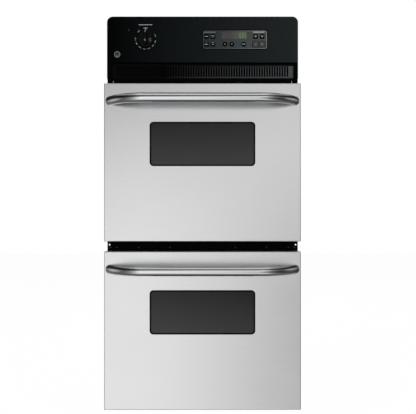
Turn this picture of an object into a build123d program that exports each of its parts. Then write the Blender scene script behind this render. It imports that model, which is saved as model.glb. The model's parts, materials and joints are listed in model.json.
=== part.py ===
from build123d import *

# Built-in double wall oven: two drop-door ovens under one control fascia, in millimetres.
# Frame: the origin is the middle of the base's underside, +X is to the right as seen by the cook,
# the doors face -Y and +Z is up.

import os
from math import cos, radians, sin

os.makedirs("parts", exist_ok=True)

# Case
BODY_DEPTH = 560.0
SHEET = 1.2  # case and liner steel
PAN_SHEET = 1.6  # base pan and front frame steel
CASE_FLANGE = 8.0  # folded edges of the case sheets
SEAT_GAP = 0.3  # between pieces that are seated but not joined

# Front frame
FRAME_ABOVE_CASE = 10.0
DOOR_OVERHANG = 1.5  # each door's side past the frame's
FRAME_FLANGE = 24.0  # past the case's sides
HEM_GAP = 1.0  # between the frame's hemmed sides and the beads on the case
FRAME_CORNER = 18.0
MOUNT_HOLE_RADIUS = 2.6
MOUNT_HOLE_INSET = 6.5
MOUNT_HOLE_ABOVE_DOOR = 18.0

# Oven cavities
CAVITY_SIDE_ROOM = 56.0  # cavity to the case's outside
CAVITY_BEHIND = 95.0  # back wall to the case's back
CAVITY_CORNER = 20.0
CAVITY_ABOVE_DOOR_BOTTOM = 68.0
CAVITY_BELOW_DOOR_TOP = 61.0
LINER_FLANGE = 9.0
BLANKET = 40.0  # insulation thickness
BLANKET_HOLE_GAP = 2.0  # more room than the liner's holes have
BLANKET_SETBACK = 25.0  # clear of the hinge feet behind the frame

# Doors
DOOR_WIDTH = 603.0
DOOR_HEIGHT = 485.0
DOOR_THICKNESS = 45.0
DOOR_EDGE = 2.5  # rounding of the skin's front edge
DOOR_RETURN = 38.0  # depth of the skin's folded sides
DOOR_FIT = 0.4  # between the skin's sides and the liner's
GASKET_GAP = 7.0  # frame to the door's back
LOWER_DOOR_BOTTOM = 5.0
DOOR_STRIP = 31.0  # between the two doors
WINDOW_WIDTH = 324.0
WINDOW_HEIGHT = 136.0
WINDOW_CORNER = 12.0
WINDOW_BELOW_TOP = 118.0
GLASS = 4.0
GLASS_LAP = 10.0  # glass behind the metal all round
INNER_WINDOW_MARGIN = 6.0  # the liner's window is this much larger than the skin's
DOOR_LINER_DEPTH = 17.0
DOOR_LINER_CORNER = 3.0
DOOR_FILLING_FROM_HINGE = 22.0
DOOR_FILLING_BELOW = 20.0
DOOR_FILLING_ABOVE = 30.0
DOOR_FILLING_CORNER = 6.0
DOOR_FILLING_GAP = 2.0  # around the inner glass
LINER_RAISE = 5.0  # raised middle of the door liner, towards the oven
RAISE_MARGIN = 6.0  # raised middle inside the oven's mouth
GASKET_INSET = 8.0  # oven's mouth to the gasket
GASKET_WIDTH = 14.0

# Handle
HANDLE_BELOW_TOP = 54.0
HANDLE_STANDOFF = 56.0
HANDLE_BAR_HEIGHT = 29.0
HANDLE_BAR_DEPTH = 22.0
HANDLE_FOOT_INSET = 18.5  # door's side to where the bar's centre line meets the door
HANDLE_END_RUN = 43.0
HANDLE_BEND_RADIUS = 135.0
STUD_RADIUS = 4.0
STUD_LENGTH = 14.0
STUD_CLEARANCE = 0.2

# Hinges
HINGE_INSET = 18.0  # from the case's side
PIVOT_ABOVE_BOTTOM = 14.0
PIVOT_FROM_BACK = 16.0
PIN_RADIUS = 4.0
PIN_LENGTH = 14.0
PIN_CLEARANCE = 0.05
ARM_THICKNESS = 4.0
ARM_HEIGHT = 16.0
ARM_SIDE_GAP = 1.2
ARM_SLOT_GAP = 1.0
FOOT_WIDTH = 16.0
FOOT_HEIGHT = 44.0
FOOT_THICKNESS = 3.0
CHANNEL_WALL = 2.0
CHANNEL_END = 8.0  # past the spring
CHANNEL_FRONT_GAP = 4.0
NOTCH_WIDTH = 14.0
NOTCH_GAP = 2.0
SPRING_GAP = 0.4
SPRING_LENGTH = 150.0
SPRING_ABOVE_PIVOT = 32.0

# Racks and their guides
GUIDE_FIRST = 60.0  # lowest guide's top above the cavity floor
GUIDE_TOP_ROOM = 86.0  # highest guide's top below the cavity roof
GUIDE_COUNT = 4
GUIDE_REACH = 11.0
GUIDE_HEIGHT = 12.0
GUIDE_LIP = 5.0
GUIDE_FRONT_ROOM = 34.0
RACK_WIRE = 3.0
RACK_CROSS_WIRE = 2.0
RACK_SIDE_GAP = 2.0
RACK_BACK_ROOM = 15.0
RACK_SETBACK = 18.0  # rack's front behind the frame
RACK_WIRE_COUNT = 17
RACK_CORNER = 14.0
RACK_BRACES = (130.0, 300.0)  # cross wires, from the rack's front
RACK_LEVELS = {"low": 1, "high": 2}

# Heating elements
ELEMENT_RADIUS = 3.4
ELEMENT_BEND = 22.0
ELEMENT_TAIL = 30.0  # terminals behind the liner
ELEMENT_HOLE_GAP = 1.0
ELEMENT_LEG = 3.0
ELEMENT_LEG_THICKNESS = 2.0
BAKE_ABOVE_FLOOR = 24.0
BAKE_TERMINAL_X = 28.0
BAKE_SHOULDER_ROOM = 57.0  # from the back wall
BAKE_WALL_ROOM = 48.0
BAKE_FRONT_ROOM = 58.0
BAKE_INNER_X = 76.0
BAKE_INNER_ROOM = 119.0  # from the back wall
BAKE_LEG_ROOMS = (130.0, 135.0)  # from the frame and from the back wall
BROIL_BELOW_ROOF = 28.0
BROIL_TERMINAL_X = 40.0
BROIL_SHOULDER_ROOM = 93.0  # from the back wall
BROIL_WALL_ROOM = 68.0
BROIL_FRONT_ROOM = 80.0
BROIL_INNER_X = 52.0
BROIL_INNER_ROOM = 161.0  # from the back wall
BROIL_LEG_ROOMS = (140.0, 155.0)  # from the frame and from the back wall
PLATE_HEIGHT = 22.0
PLATE_THICKNESS = 1.5
PLATE_CORNER = 2.0

# Lamp, probe and thermostat bulb
LAMP_FROM_WALL = 70.0
LAMP_BELOW_ROOF = 60.0
LAMP_COVER_RADIUS = 34.0
LAMP_COVER_LENGTH = 56.0
LAMP_COVER_WALL = 2.0
LAMP_COVER_ROUNDING = 17.0
LAMP_COVER_END_BORE = 22.0
LAMP_COVER_END_WALL = 4.0
SOCKET_RADIUS = 14.0
SOCKET_REACH = 10.0
SOCKET_FLANGE_RADIUS = 20.0
SOCKET_FLANGE = 2.0
BULB_RADIUS = 14.0
BULB_NECK_RADIUS = 7.0
BULB_NECK_LENGTH = 12.0
BULB_CENTRE = 32.0  # from the back wall
PROBE_FROM_WALL = 110.0
PROBE_BELOW_ROOF = 50.0
PROBE_RADIUS = 2.5
PROBE_LENGTH = 115.0
PROBE_PLATE_WIDTH = 31.0
PROBE_PLATE_HEIGHT = 15.0
CAPILLARY_RADIUS = 1.2
CAPILLARY_BEND = 30.0
CAPILLARY_FROM_BACK = 25.0
BULB_ROD_RADIUS = 3.5
BULB_ROD_LENGTH = 150.0
BULB_COLLAR_RADIUS = 9.0
BULB_BELOW_ROOF = 50.0

# Control fascia
FASCIA_INSET = 3.0  # from the frame's sides
FASCIA_GAP = 3.0  # above the upper door
FASCIA_HEIGHT = 210.0
FASCIA_ABOVE_FRAME = 4.0
FASCIA_DEPTH = 27.0
FASCIA_WALL = 3.0
FASCIA_TAPER_WIDTH = 7.0
FASCIA_TAPER_HEIGHT = 18.0
FASCIA_EDGE = 2.0
CONTROL_OPENING_SIDE = 35.0  # opening in the frame, from the fascia's sides
CONTROL_OPENING_RISE = 19.0
CONTROL_OPENING_DROP = 30.0
CONTROL_OPENING_CORNER = 6.0
VENT_RISE = 18.0  # above the fascia's bottom
VENT_HEIGHT = 49.0
VENT_SIDE = 14.0
VENT_RECESS = 8.0
VENT_CORNER = 2.0
GRILLE_SLOT_PITCH = 7.9
GRILLE_END_MARGIN = 14.0
GRILLE_SLOT_WIDTH = 5.2
GRILLE_SLOT_HEIGHT = 33.0
GRILLE_HEIGHT = 44.0
GRILLE_THICKNESS = 2.5

# Dial
DIAL_FROM_WALL = 43.0  # inside the cavity's left wall
DIAL_DROP = 70.0
SKIRT_RADIUS = 25.0
SKIRT_THICKNESS = 6.0
SKIRT_GAP = 0.6
GRIP_LENGTH = 44.0
GRIP_WIDTH = 13.0
GRIP_DEPTH = 17.0
GRIP_TAPER = 7.0
GRIP_EDGE = 1.5
SHAFT_RADIUS = 3.0
SHAFT_FLAT = 1.2  # depth of the shaft's flat
SHAFT_CLEARANCE = 0.05
SHAFT_IN_THERMOSTAT = 12.0
THERMOSTAT_WIDTH = 52.0
THERMOSTAT_DEPTH = 34.0
THERMOSTAT_CORNER = 4.0

# Key pad
BEZEL_X = 101.0
BEZEL_DROP = 72.0
BEZEL_WIDTH = 198.0
BEZEL_TALL = 56.0
BEZEL_CORNER = 6.0
BEZEL_SINK = 1.2
BEZEL_LAP = 5.0
BEZEL_FLANGE = 1.5
BEZEL_GAP = 0.5
DISPLAY_SHIFT = -2.5  # from the bezel's middle
DISPLAY_RISE = 14.0
DISPLAY_WIDTH = 77.0
DISPLAY_TALL = 23.0
DISPLAY_GAP = 0.3
DISPLAY_LAP = 2.0
DISPLAY_MODULE_MARGIN = 3.0
KEY_SIZE = 14.6
KEY_CORNER = 2.5
KEY_ROUND_RADIUS = 7.2
KEY_GAP = 0.35
KEY_PROUD = 0.9
KEY_TRAVEL = 1.0
KEY_LAP = 1.2
KEY_FLANGE = 1.2
SWITCH_RADIUS = 3.0
KEY_SPACE = 5.7  # between neighbouring keys
LEFT_KEYS = -89.0  # first key of a group, from the bezel's middle
RIGHT_KEYS = 64.0
CENTRE_KEYS = (-31.5, -10.0, 27.0)
UPPER_ROW_RISE = 10.0
LOWER_ROW_DROP = 14.0
BOARD = 1.6
BOARD_BEHIND_FASCIA = 16.0
BOARD_MARGIN = 4.0
BOSS_RADIUS = 4.0
BOSS_GAP = 1.0
RELAY_COUNT = 4
RELAY_PITCH = 40.0
RELAY_WIDTH = 22.0
RELAY_TALL = 28.0
RELAY_DEPTH = 16.0

# Blower
BLOWER_LENGTH = 260.0
BLOWER_DEPTH = 130.0
BLOWER_WALL = 1.5
BLOWER_Y = 60.0
BLOWER_AXIS_DROP = 73.0  # below the case's top
DUCT_RISE = 5.0  # inside the vent's bottom edge
DUCT_DROP = 6.0  # inside the vent's top edge
ROTOR_RADIUS = 38.0
ROTOR_LENGTH = 220.0
ROTOR_DISC = 2.0
BLADE_COUNT = 20
BLADE_DEPTH = 9.0
BLADE_THICKNESS = 1.4
BLADE_ANGLE = 25.0
BLADE_INSET = 1.0
BLOWER_SHAFT_RADIUS = 4.0
MOTOR_RADIUS = 30.0
MOTOR_LENGTH = 55.0
MOTOR_EDGE = 4.0
MOTOR_PLATE = 3.0
MOTOR_PLATE_WIDTH = 84.0
MOTOR_PLATE_HEIGHT = 30.0
INTAKE_RADIUS = 30.0
HUB_RADIUS = 12.0
SPOKE_WIDTH = 6.0
SPOKE_OVERRUN = 2.0
SPOKE_ANGLES = (90, 210, 330)

# Door latch of the upper oven
LATCH_BELOW_DOOR_TOP = 19.0
LATCH_WIDTH = 16.0
LATCH_THICKNESS = 3.0
LATCH_TRAVEL = 10.0
LATCH_REACH = 15.0  # past the frame's front, into the door
LATCH_BARB = 7.0
LATCH_GAP = 0.4
LATCH_DEPTH = 16.0  # behind the frame
LATCH_GUIDE_MARGIN = 8.0
LATCH_MOTOR_WIDTH = 62.0
LATCH_MOTOR_DEPTH = 20.0
LATCH_MOTOR_RISE = 39.0

# Conduit inlet and vents in the back, and screws
INLET_RADIUS = 11.1
INLET_COLLAR = 3.0
INLET_LENGTH = 10.0
INLET_FROM_SIDE = 76.0
INLET_DROP = 85.0
LOUVRE_LENGTH = 60.0
LOUVRE_HEIGHT = 5.0
LOUVRE_PITCH = 14.0
LOUVRE_CORNER = 2.4
SIDE_LOUVRE_ROWS = 5
SIDE_LOUVRE_DROP = 60.0
SIDE_LOUVRE_STARTS = (0.0, 90.0)
BACK_LOUVRE_ROWS = 6
BACK_LOUVRE_LOW = 300.0
BACK_LOUVRE_DROP = 125.0
BACK_LOUVRE_COLUMNS = (-84.0, 0.0, 84.0)
TOP_LOUVRE_ROWS = 8
TOP_LOUVRE_FROM_BACK = 135.0
TOP_LOUVRE_COLUMNS = (-120.0, 0.0, 120.0)
BEAD_WIDTH = 12.0
BEAD_RISE = 2.0
BEAD_PLACES = (-112.0, 112.0)
SCREW_RADIUS = 2.0
SCREW_HEAD_RADIUS = 4.0
SCREW_HEAD = 2.0
SCREW_LENGTH = 6.0
SCREW_GAP = 0.1
SCREW_INSET = 12.0
SCREW_COUNT = 5
SCREW_LOWEST = 40.0
SCREW_DROP = 45.0

# Places that follow from the sizes above: heights
DOOR_BOTTOMS = {"lower": LOWER_DOOR_BOTTOM, "upper": LOWER_DOOR_BOTTOM + DOOR_HEIGHT + DOOR_STRIP}
DOORS_TOP = DOOR_BOTTOMS["upper"] + DOOR_HEIGHT
FASCIA_BOTTOM = DOORS_TOP + FASCIA_GAP
FASCIA_TOP = FASCIA_BOTTOM + FASCIA_HEIGHT
FRAME_HEIGHT = FASCIA_TOP - FASCIA_ABOVE_FRAME
BODY_HEIGHT = FRAME_HEIGHT - FRAME_ABOVE_CASE
CAVITY_HEIGHT = DOOR_HEIGHT - CAVITY_ABOVE_DOOR_BOTTOM - CAVITY_BELOW_DOOR_TOP
FLOORS = {oven: bottom + CAVITY_ABOVE_DOOR_BOTTOM for oven, bottom in DOOR_BOTTOMS.items()}
ROOFS = {oven: floor + CAVITY_HEIGHT for oven, floor in FLOORS.items()}
GUIDE_PITCH = (CAVITY_HEIGHT - GUIDE_FIRST - GUIDE_TOP_ROOM) / (GUIDE_COUNT - 1)
MOUNT_HOLE_HEIGHT = LOWER_DOOR_BOTTOM + DOOR_HEIGHT + MOUNT_HOLE_ABOVE_DOOR
CONTROL_OPENING_BOTTOM = FASCIA_BOTTOM + CONTROL_OPENING_RISE
CONTROL_OPENING_TOP = FASCIA_TOP - CONTROL_OPENING_DROP
VENT_BOTTOM = FASCIA_BOTTOM + VENT_RISE
VENT_TOP = VENT_BOTTOM + VENT_HEIGHT
GRILLE_CENTRE_HEIGHT = VENT_BOTTOM + GRILLE_HEIGHT / 2
DIAL_HEIGHT = FASCIA_TOP - DIAL_DROP
BEZEL_HEIGHT = FASCIA_TOP - BEZEL_DROP
DISPLAY_HEIGHT = BEZEL_HEIGHT + DISPLAY_RISE
UPPER_ROW = BEZEL_HEIGHT + UPPER_ROW_RISE
LOWER_ROW = BEZEL_HEIGHT - LOWER_ROW_DROP
BLOWER_AXIS_HEIGHT = BODY_HEIGHT - BLOWER_AXIS_DROP
DUCT_BOTTOM = VENT_BOTTOM + DUCT_RISE
DUCT_TOP = VENT_TOP - DUCT_DROP
LATCH_HEIGHT = DOORS_TOP - LATCH_BELOW_DOOR_TOP
LATCH_MOTOR_TOP = LATCH_HEIGHT + LATCH_MOTOR_RISE
INLET_HEIGHT = BODY_HEIGHT - INLET_DROP
SIDE_LOUVRE_TOP = BODY_HEIGHT - SIDE_LOUVRE_DROP
BACK_LOUVRE_BOTTOMS = (BACK_LOUVRE_LOW, BODY_HEIGHT - BACK_LOUVRE_DROP)
SCREW_PITCH = (BODY_HEIGHT - SCREW_DROP - SCREW_LOWEST) / (SCREW_COUNT - 1)
SCREW_HEIGHTS = [SCREW_LOWEST + SCREW_PITCH * row for row in range(SCREW_COUNT)]

# Widths
FRAME_WIDTH = DOOR_WIDTH - 2 * DOOR_OVERHANG
MOUNT_HOLE_SPACING = FRAME_WIDTH - 2 * MOUNT_HOLE_INSET
FASCIA_WIDTH = FRAME_WIDTH - 2 * FASCIA_INSET
CONTROL_OPENING_WIDTH = FASCIA_WIDTH - 2 * CONTROL_OPENING_SIDE
VENT_WIDTH = FASCIA_WIDTH - 2 * VENT_SIDE
GRILLE_SLOT_COUNT = int((VENT_WIDTH - 2 * GRILLE_END_MARGIN) / GRILLE_SLOT_PITCH)
BODY_WIDTH = FRAME_WIDTH - 2 * FRAME_FLANGE
SIDE_INNER_X = BODY_WIDTH / 2 - SHEET
CAVITY_WIDTH = BODY_WIDTH - 2 * CAVITY_SIDE_ROOM
CAVITY_WALL_X = CAVITY_WIDTH / 2
BAKE_OUTER_X = CAVITY_WALL_X - BAKE_WALL_ROOM
BROIL_OUTER_X = CAVITY_WALL_X - BROIL_WALL_ROOM
LAMP_X = CAVITY_WALL_X - LAMP_FROM_WALL
PROBE_X = PROBE_FROM_WALL - CAVITY_WALL_X
DIAL_X = DIAL_FROM_WALL - CAVITY_WALL_X
INLET_X = BODY_WIDTH / 2 - INLET_FROM_SIDE
HINGE_X = BODY_WIDTH / 2 - HINGE_INSET
DOOR_FILLING_WIDTH = 2 * (HINGE_X - DOOR_FILLING_FROM_HINGE)
HANDLE_FOOT_X = DOOR_WIDTH / 2 - HANDLE_FOOT_INSET
HANDLE_BEND_X = HANDLE_FOOT_X - HANDLE_END_RUN
CHANNEL_HALF = ARM_THICKNESS / 2 + ARM_SIDE_GAP  # inside a hinge channel
SPRING_RADIUS = CHANNEL_HALF - SPRING_GAP
CHANNEL_RISE = SPRING_ABOVE_PIVOT + SPRING_LENGTH + CHANNEL_END
DISPLAY_X = BEZEL_X + DISPLAY_SHIFT
KEY_PITCH = KEY_SIZE + KEY_SPACE
SQUARE_KEYS = {
    f"key_{group}_{number}": (BEZEL_X + start + column * KEY_PITCH, row)
    for group, start in (("left", LEFT_KEYS), ("right", RIGHT_KEYS))
    for number, (row, column) in enumerate(
        ((UPPER_ROW, 0), (UPPER_ROW, 1), (LOWER_ROW, 0), (LOWER_ROW, 1)), start=1
    )
}
ROUND_KEYS = {
    f"key_centre_{number}": (BEZEL_X + shift, LOWER_ROW)
    for number, shift in enumerate(CENTRE_KEYS, start=1)
}

# Depths, from the case's back to the door's front
BACK_Y = BODY_DEPTH / 2
CAPILLARY_BACK_Y = BACK_Y - CAPILLARY_FROM_BACK
TOP_LOUVRE_START = BACK_Y - TOP_LOUVRE_FROM_BACK
CAVITY_BACK_Y = BACK_Y - CAVITY_BEHIND
FRONT_Y = -BODY_DEPTH / 2  # back of the front frame
CAVITY_DEPTH = CAVITY_BACK_Y - FRONT_Y
BAKE_SHOULDER_Y = CAVITY_BACK_Y - BAKE_SHOULDER_ROOM
BAKE_INNER_Y = CAVITY_BACK_Y - BAKE_INNER_ROOM
BAKE_FRONT_Y = FRONT_Y + BAKE_FRONT_ROOM
BAKE_LEGS_Y = (FRONT_Y + BAKE_LEG_ROOMS[0], CAVITY_BACK_Y - BAKE_LEG_ROOMS[1])
BROIL_SHOULDER_Y = CAVITY_BACK_Y - BROIL_SHOULDER_ROOM
BROIL_INNER_Y = CAVITY_BACK_Y - BROIL_INNER_ROOM
BROIL_FRONT_Y = FRONT_Y + BROIL_FRONT_ROOM
BROIL_LEGS_Y = (FRONT_Y + BROIL_LEG_ROOMS[0], CAVITY_BACK_Y - BROIL_LEG_ROOMS[1])
RACK_DEPTH = CAVITY_DEPTH - RACK_SETBACK - RACK_BACK_ROOM
GUIDE_LENGTH = CAVITY_DEPTH - GUIDE_REACH - GUIDE_FRONT_ROOM
FRAME_FACE_Y = FRONT_Y - PAN_SHEET
DOOR_BACK_Y = FRAME_FACE_Y - GASKET_GAP
DOOR_FACE_Y = DOOR_BACK_Y - DOOR_THICKNESS
PIVOT_Y = DOOR_BACK_Y - PIVOT_FROM_BACK
FASCIA_FACE_Y = FRAME_FACE_Y - FASCIA_DEPTH
FASCIA_INNER_Y = FASCIA_FACE_Y + FASCIA_WALL
BEZEL_FACE_Y = FASCIA_FACE_Y + BEZEL_SINK
BEZEL_BACK_Y = FASCIA_INNER_Y + BEZEL_FLANGE
KEY_BACK_Y = BEZEL_BACK_Y + SEAT_GAP + KEY_FLANGE
BOARD_FACE_Y = FASCIA_FACE_Y + BOARD_BEHIND_FASCIA


def front_plane(y):
    """A plane seen from the front: its X is +X, its Y is +Z, and it extrudes towards -Y."""
    return Plane.XZ.offset(-y)


def side_plane(x):
    """A plane seen from the right: its X is +Y, its Y is +Z, and it extrudes towards +X."""
    return Plane.YZ.offset(x)


def plate(back, depth, width, bottom, top, corner=0.0, x=0.0, mode=Mode.ADD):
    """An upright plate whose back is at y=back and which is depth thick towards the front."""
    with BuildSketch(front_plane(back)) as outline:
        with Locations((x, (bottom + top) / 2)):
            if corner:
                RectangleRounded(width, top - bottom, corner)
            else:
                Rectangle(width, top - bottom)
    extrude(outline.sketch, amount=depth, mode=mode)


def block(x_range, y_range, z_range, mode=Mode.ADD):
    """A block between two values on each axis."""
    with BuildSketch(Plane.XY.offset(z_range[0])) as outline:
        with Locations((sum(x_range) / 2, sum(y_range) / 2)):
            Rectangle(x_range[1] - x_range[0], y_range[1] - y_range[0])
    extrude(outline.sketch, amount=z_range[1] - z_range[0], mode=mode)


def rod_along_y(x, z, front, back, radius, mode=Mode.ADD):
    """A round rod or hole from y=front to y=back."""
    with BuildSketch(front_plane(back)) as outline:
        with Locations((x, z)):
            Circle(radius)
    extrude(outline.sketch, amount=back - front, mode=mode)


def rod_along_x(y, z, left, right, radius, mode=Mode.ADD):
    """A round rod or hole from x=left to x=right."""
    with BuildSketch(side_plane(left)) as outline:
        with Locations((y, z)):
            Circle(radius)
    extrude(outline.sketch, amount=right - left, mode=mode)


def tube_along(path, radius):
    """A round bar along a line."""
    with BuildSketch(Plane(path @ 0, z_dir=path % 0)) as section:
        Circle(radius)
    sweep(section.sketch, path=path)


def save(built, name):
    """Labels a finished sub-part and writes it to its STEP file."""
    built.part.label = name
    export_step(built.part, f"parts/{name}.step")


def oven_mouth(oven, margin, back, depth, mode=Mode.ADD):
    """A rounded plate the size of an oven's mouth plus a margin all round."""
    plate(
        back,
        depth,
        CAVITY_WIDTH + 2 * margin,
        FLOORS[oven] - margin,
        ROOFS[oven] + margin,
        CAVITY_CORNER + margin,
        mode=mode,
    )


# Case sheets
with BuildPart() as side_panels:
    for side in (-1, 1):
        outer = side * BODY_WIDTH / 2
        inner = side * SIDE_INNER_X
        block(sorted((outer, inner)), (FRONT_Y, BACK_Y), (0, BODY_HEIGHT))
        flange = side * (SIDE_INNER_X - CASE_FLANGE)
        block(sorted((flange, inner)), (FRONT_Y, FRONT_Y + SHEET), (PAN_SHEET, BODY_HEIGHT - SHEET))
        bead_top = side * (BODY_WIDTH / 2 + BEAD_RISE)
        for oven in DOOR_BOTTOMS:
            for bead_y in BEAD_PLACES:
                block(
                    sorted((outer, bead_top)),
                    (bead_y - BEAD_WIDTH / 2, bead_y + BEAD_WIDTH / 2),
                    (FLOORS[oven], ROOFS[oven]),
                )
        for row in range(SIDE_LOUVRE_ROWS):
            louvre = SIDE_LOUVRE_TOP - row * LOUVRE_PITCH
            for louvre_y in SIDE_LOUVRE_STARTS:
                block(
                    sorted((outer, inner)),
                    (louvre_y, louvre_y + LOUVRE_LENGTH),
                    (louvre, louvre + LOUVRE_HEIGHT),
                    mode=Mode.SUBTRACT,
                )
save(side_panels, "side_panels")

screw_places = [
    (side * (SIDE_INNER_X - SCREW_INSET), height) for side in (-1, 1) for height in SCREW_HEIGHTS
]
with BuildPart() as back_panel:
    plate(BACK_Y, SHEET, 2 * SIDE_INNER_X, PAN_SHEET, BODY_HEIGHT - SHEET)
    for side in (-1, 1):
        edge = side * SIDE_INNER_X
        block(
            sorted((edge, edge - side * SHEET)),
            (BACK_Y - SHEET - CASE_FLANGE, BACK_Y - SHEET),
            (PAN_SHEET, BODY_HEIGHT - SHEET),
        )
    inlet_front = BACK_Y - SHEET
    inlet_back = inlet_front + INLET_LENGTH
    rod_along_y(INLET_X, INLET_HEIGHT, inlet_front, inlet_back, INLET_RADIUS + INLET_COLLAR)
    rod_along_y(INLET_X, INLET_HEIGHT, inlet_front, inlet_back, INLET_RADIUS, mode=Mode.SUBTRACT)
    for row in range(BACK_LOUVRE_ROWS):
        for column in BACK_LOUVRE_COLUMNS:
            for start in BACK_LOUVRE_BOTTOMS:
                louvre = start + row * LOUVRE_PITCH
                plate(
                    BACK_Y,
                    SHEET,
                    LOUVRE_LENGTH,
                    louvre,
                    louvre + LOUVRE_HEIGHT,
                    LOUVRE_CORNER,
                    x=column,
                    mode=Mode.SUBTRACT,
                )
    for x, z in screw_places:
        rod_along_y(x, z, BACK_Y - SHEET, BACK_Y, SCREW_RADIUS + SCREW_GAP, mode=Mode.SUBTRACT)
save(back_panel, "back_panel")

with BuildPart() as frame_screws:
    for x, z in screw_places:
        rod_along_y(x, z, BACK_Y - SCREW_LENGTH, BACK_Y, SCREW_RADIUS)
        rod_along_y(x, z, BACK_Y, BACK_Y + SCREW_HEAD, SCREW_HEAD_RADIUS)
    fillet(frame_screws.faces().group_by(Axis.Y)[-1].edges(), SCREW_HEAD / 2)
save(frame_screws, "frame_screws")

with BuildPart() as top_panel:
    block((-SIDE_INNER_X, SIDE_INNER_X), (FRONT_Y, BACK_Y), (BODY_HEIGHT - SHEET, BODY_HEIGHT))
    for side in (-1, 1):
        edge = side * SIDE_INNER_X
        block(
            sorted((edge, edge - side * SHEET)),
            (FRONT_Y + 2 * SHEET, BACK_Y - CASE_FLANGE - 2 * SHEET),
            (BODY_HEIGHT - SHEET - CASE_FLANGE, BODY_HEIGHT - SHEET),
        )
    for row in range(TOP_LOUVRE_ROWS):
        louvre_y = TOP_LOUVRE_START + row * LOUVRE_PITCH
        for louvre_x in TOP_LOUVRE_COLUMNS:
            block(
                (louvre_x - LOUVRE_LENGTH / 2, louvre_x + LOUVRE_LENGTH / 2),
                (louvre_y, louvre_y + LOUVRE_HEIGHT),
                (BODY_HEIGHT - SHEET, BODY_HEIGHT),
                mode=Mode.SUBTRACT,
            )
save(top_panel, "top_panel")

deck_height = (ROOFS["lower"] + FLOORS["upper"]) / 2
with BuildPart() as deck_pans:
    fold_depth = (FRONT_Y + 2 * FOOT_THICKNESS, BACK_Y - CASE_FLANGE - 2 * SHEET)
    deck_depth = (FRONT_Y + SHEET, fold_depth[1])
    for bottom, depth in ((0.0, (FRONT_Y, BACK_Y)), (deck_height, deck_depth)):
        block((-SIDE_INNER_X, SIDE_INNER_X), depth, (bottom, bottom + PAN_SHEET))
        for side in (-1, 1):
            edge = side * SIDE_INNER_X
            block(sorted((edge, edge - side * PAN_SHEET)), fold_depth, (bottom, bottom + 2 * CASE_FLANGE))
    with BuildSketch(Plane.XY.offset(deck_height)) as capillary_hole:
        with Locations((DIAL_X, CAPILLARY_BACK_Y)):
            Circle(5 * CAPILLARY_RADIUS)
    extrude(amount=PAN_SHEET, mode=Mode.SUBTRACT)
save(deck_pans, "deck_pans")

# Front frame, hemmed where it bears on the cabinet, with the ovens' mouths, hinge and latch slots
# and the two mounting holes
latch_slot_width = LATCH_WIDTH + LATCH_BARB + LATCH_TRAVEL + 4 * LATCH_GAP
with BuildPart() as front_frame:
    with BuildSketch(front_plane(FRONT_Y)) as frame_outline:
        with Locations((0, FRAME_HEIGHT / 2)):
            Rectangle(FRAME_WIDTH, FRAME_HEIGHT)
        fillet(frame_outline.vertices().group_by(Axis.Y)[-1], FRAME_CORNER)
    extrude(amount=PAN_SHEET)
    hem_back = FRONT_Y + PAN_SHEET
    hem_edges = (BODY_WIDTH / 2 + BEAD_RISE + HEM_GAP, FRAME_WIDTH / 2)
    for side in (-1, 1):
        hem = sorted(side * edge for edge in hem_edges)
        block(hem, (FRONT_Y, hem_back), (0, FRAME_HEIGHT - FRAME_CORNER))
    plate(
        FRONT_Y,
        PAN_SHEET,
        CONTROL_OPENING_WIDTH,
        CONTROL_OPENING_BOTTOM,
        CONTROL_OPENING_TOP,
        CONTROL_OPENING_CORNER,
        mode=Mode.SUBTRACT,
    )
    for oven, bottom in DOOR_BOTTOMS.items():
        oven_mouth(oven, 0, FRONT_Y, PAN_SHEET, mode=Mode.SUBTRACT)
        pivot = bottom + PIVOT_ABOVE_BOTTOM
        for side in (-1, 1):
            plate(
                FRONT_Y,
                PAN_SHEET,
                ARM_THICKNESS + 2 * ARM_SLOT_GAP,
                pivot - ARM_HEIGHT / 2 - ARM_SLOT_GAP,
                pivot + ARM_HEIGHT / 2 + ARM_SLOT_GAP,
                x=side * HINGE_X,
                mode=Mode.SUBTRACT,
            )
    plate(
        FRONT_Y,
        PAN_SHEET,
        latch_slot_width,
        LATCH_HEIGHT - LATCH_THICKNESS,
        LATCH_HEIGHT + LATCH_THICKNESS,
        x=(LATCH_BARB + LATCH_TRAVEL) / 2,
        mode=Mode.SUBTRACT,
    )
    for side in (-1, 1):
        rod_along_y(
            side * MOUNT_HOLE_SPACING / 2,
            MOUNT_HOLE_HEIGHT,
            FRAME_FACE_Y,
            hem_back,
            MOUNT_HOLE_RADIUS,
            mode=Mode.SUBTRACT,
        )
save(front_frame, "front_frame")

# Oven liners with pressed rack guides, and what goes through their back walls
def back_wall_holes(oven, front, back, extra):
    """Cuts what passes through an oven's back wall, with some room around each piece."""
    bake_z = FLOORS[oven] + BAKE_ABOVE_FLOOR
    broil_z = ROOFS[oven] - BROIL_BELOW_ROOF
    terminals = [(side * BAKE_TERMINAL_X, bake_z) for side in (-1, 1)]
    terminals += [(side * BROIL_TERMINAL_X, broil_z) for side in (-1, 1)]
    for x, z in terminals:
        rod_along_y(x, z, front, back, ELEMENT_RADIUS + ELEMENT_HOLE_GAP + extra, mode=Mode.SUBTRACT)
    lamp_z = ROOFS[oven] - LAMP_BELOW_ROOF
    rod_along_y(LAMP_X, lamp_z, front, back, SOCKET_RADIUS + ELEMENT_HOLE_GAP + extra, mode=Mode.SUBTRACT)
    if oven == "upper":
        sensor_x, sensor_z, sensor_radius = PROBE_X, ROOFS[oven] - PROBE_BELOW_ROOF, PROBE_RADIUS
    else:
        sensor_x, sensor_z, sensor_radius = DIAL_X, ROOFS[oven] - BULB_BELOW_ROOF, BULB_ROD_RADIUS
    rod_along_y(
        sensor_x, sensor_z, front, back, sensor_radius + ELEMENT_HOLE_GAP + extra, mode=Mode.SUBTRACT
    )


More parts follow.
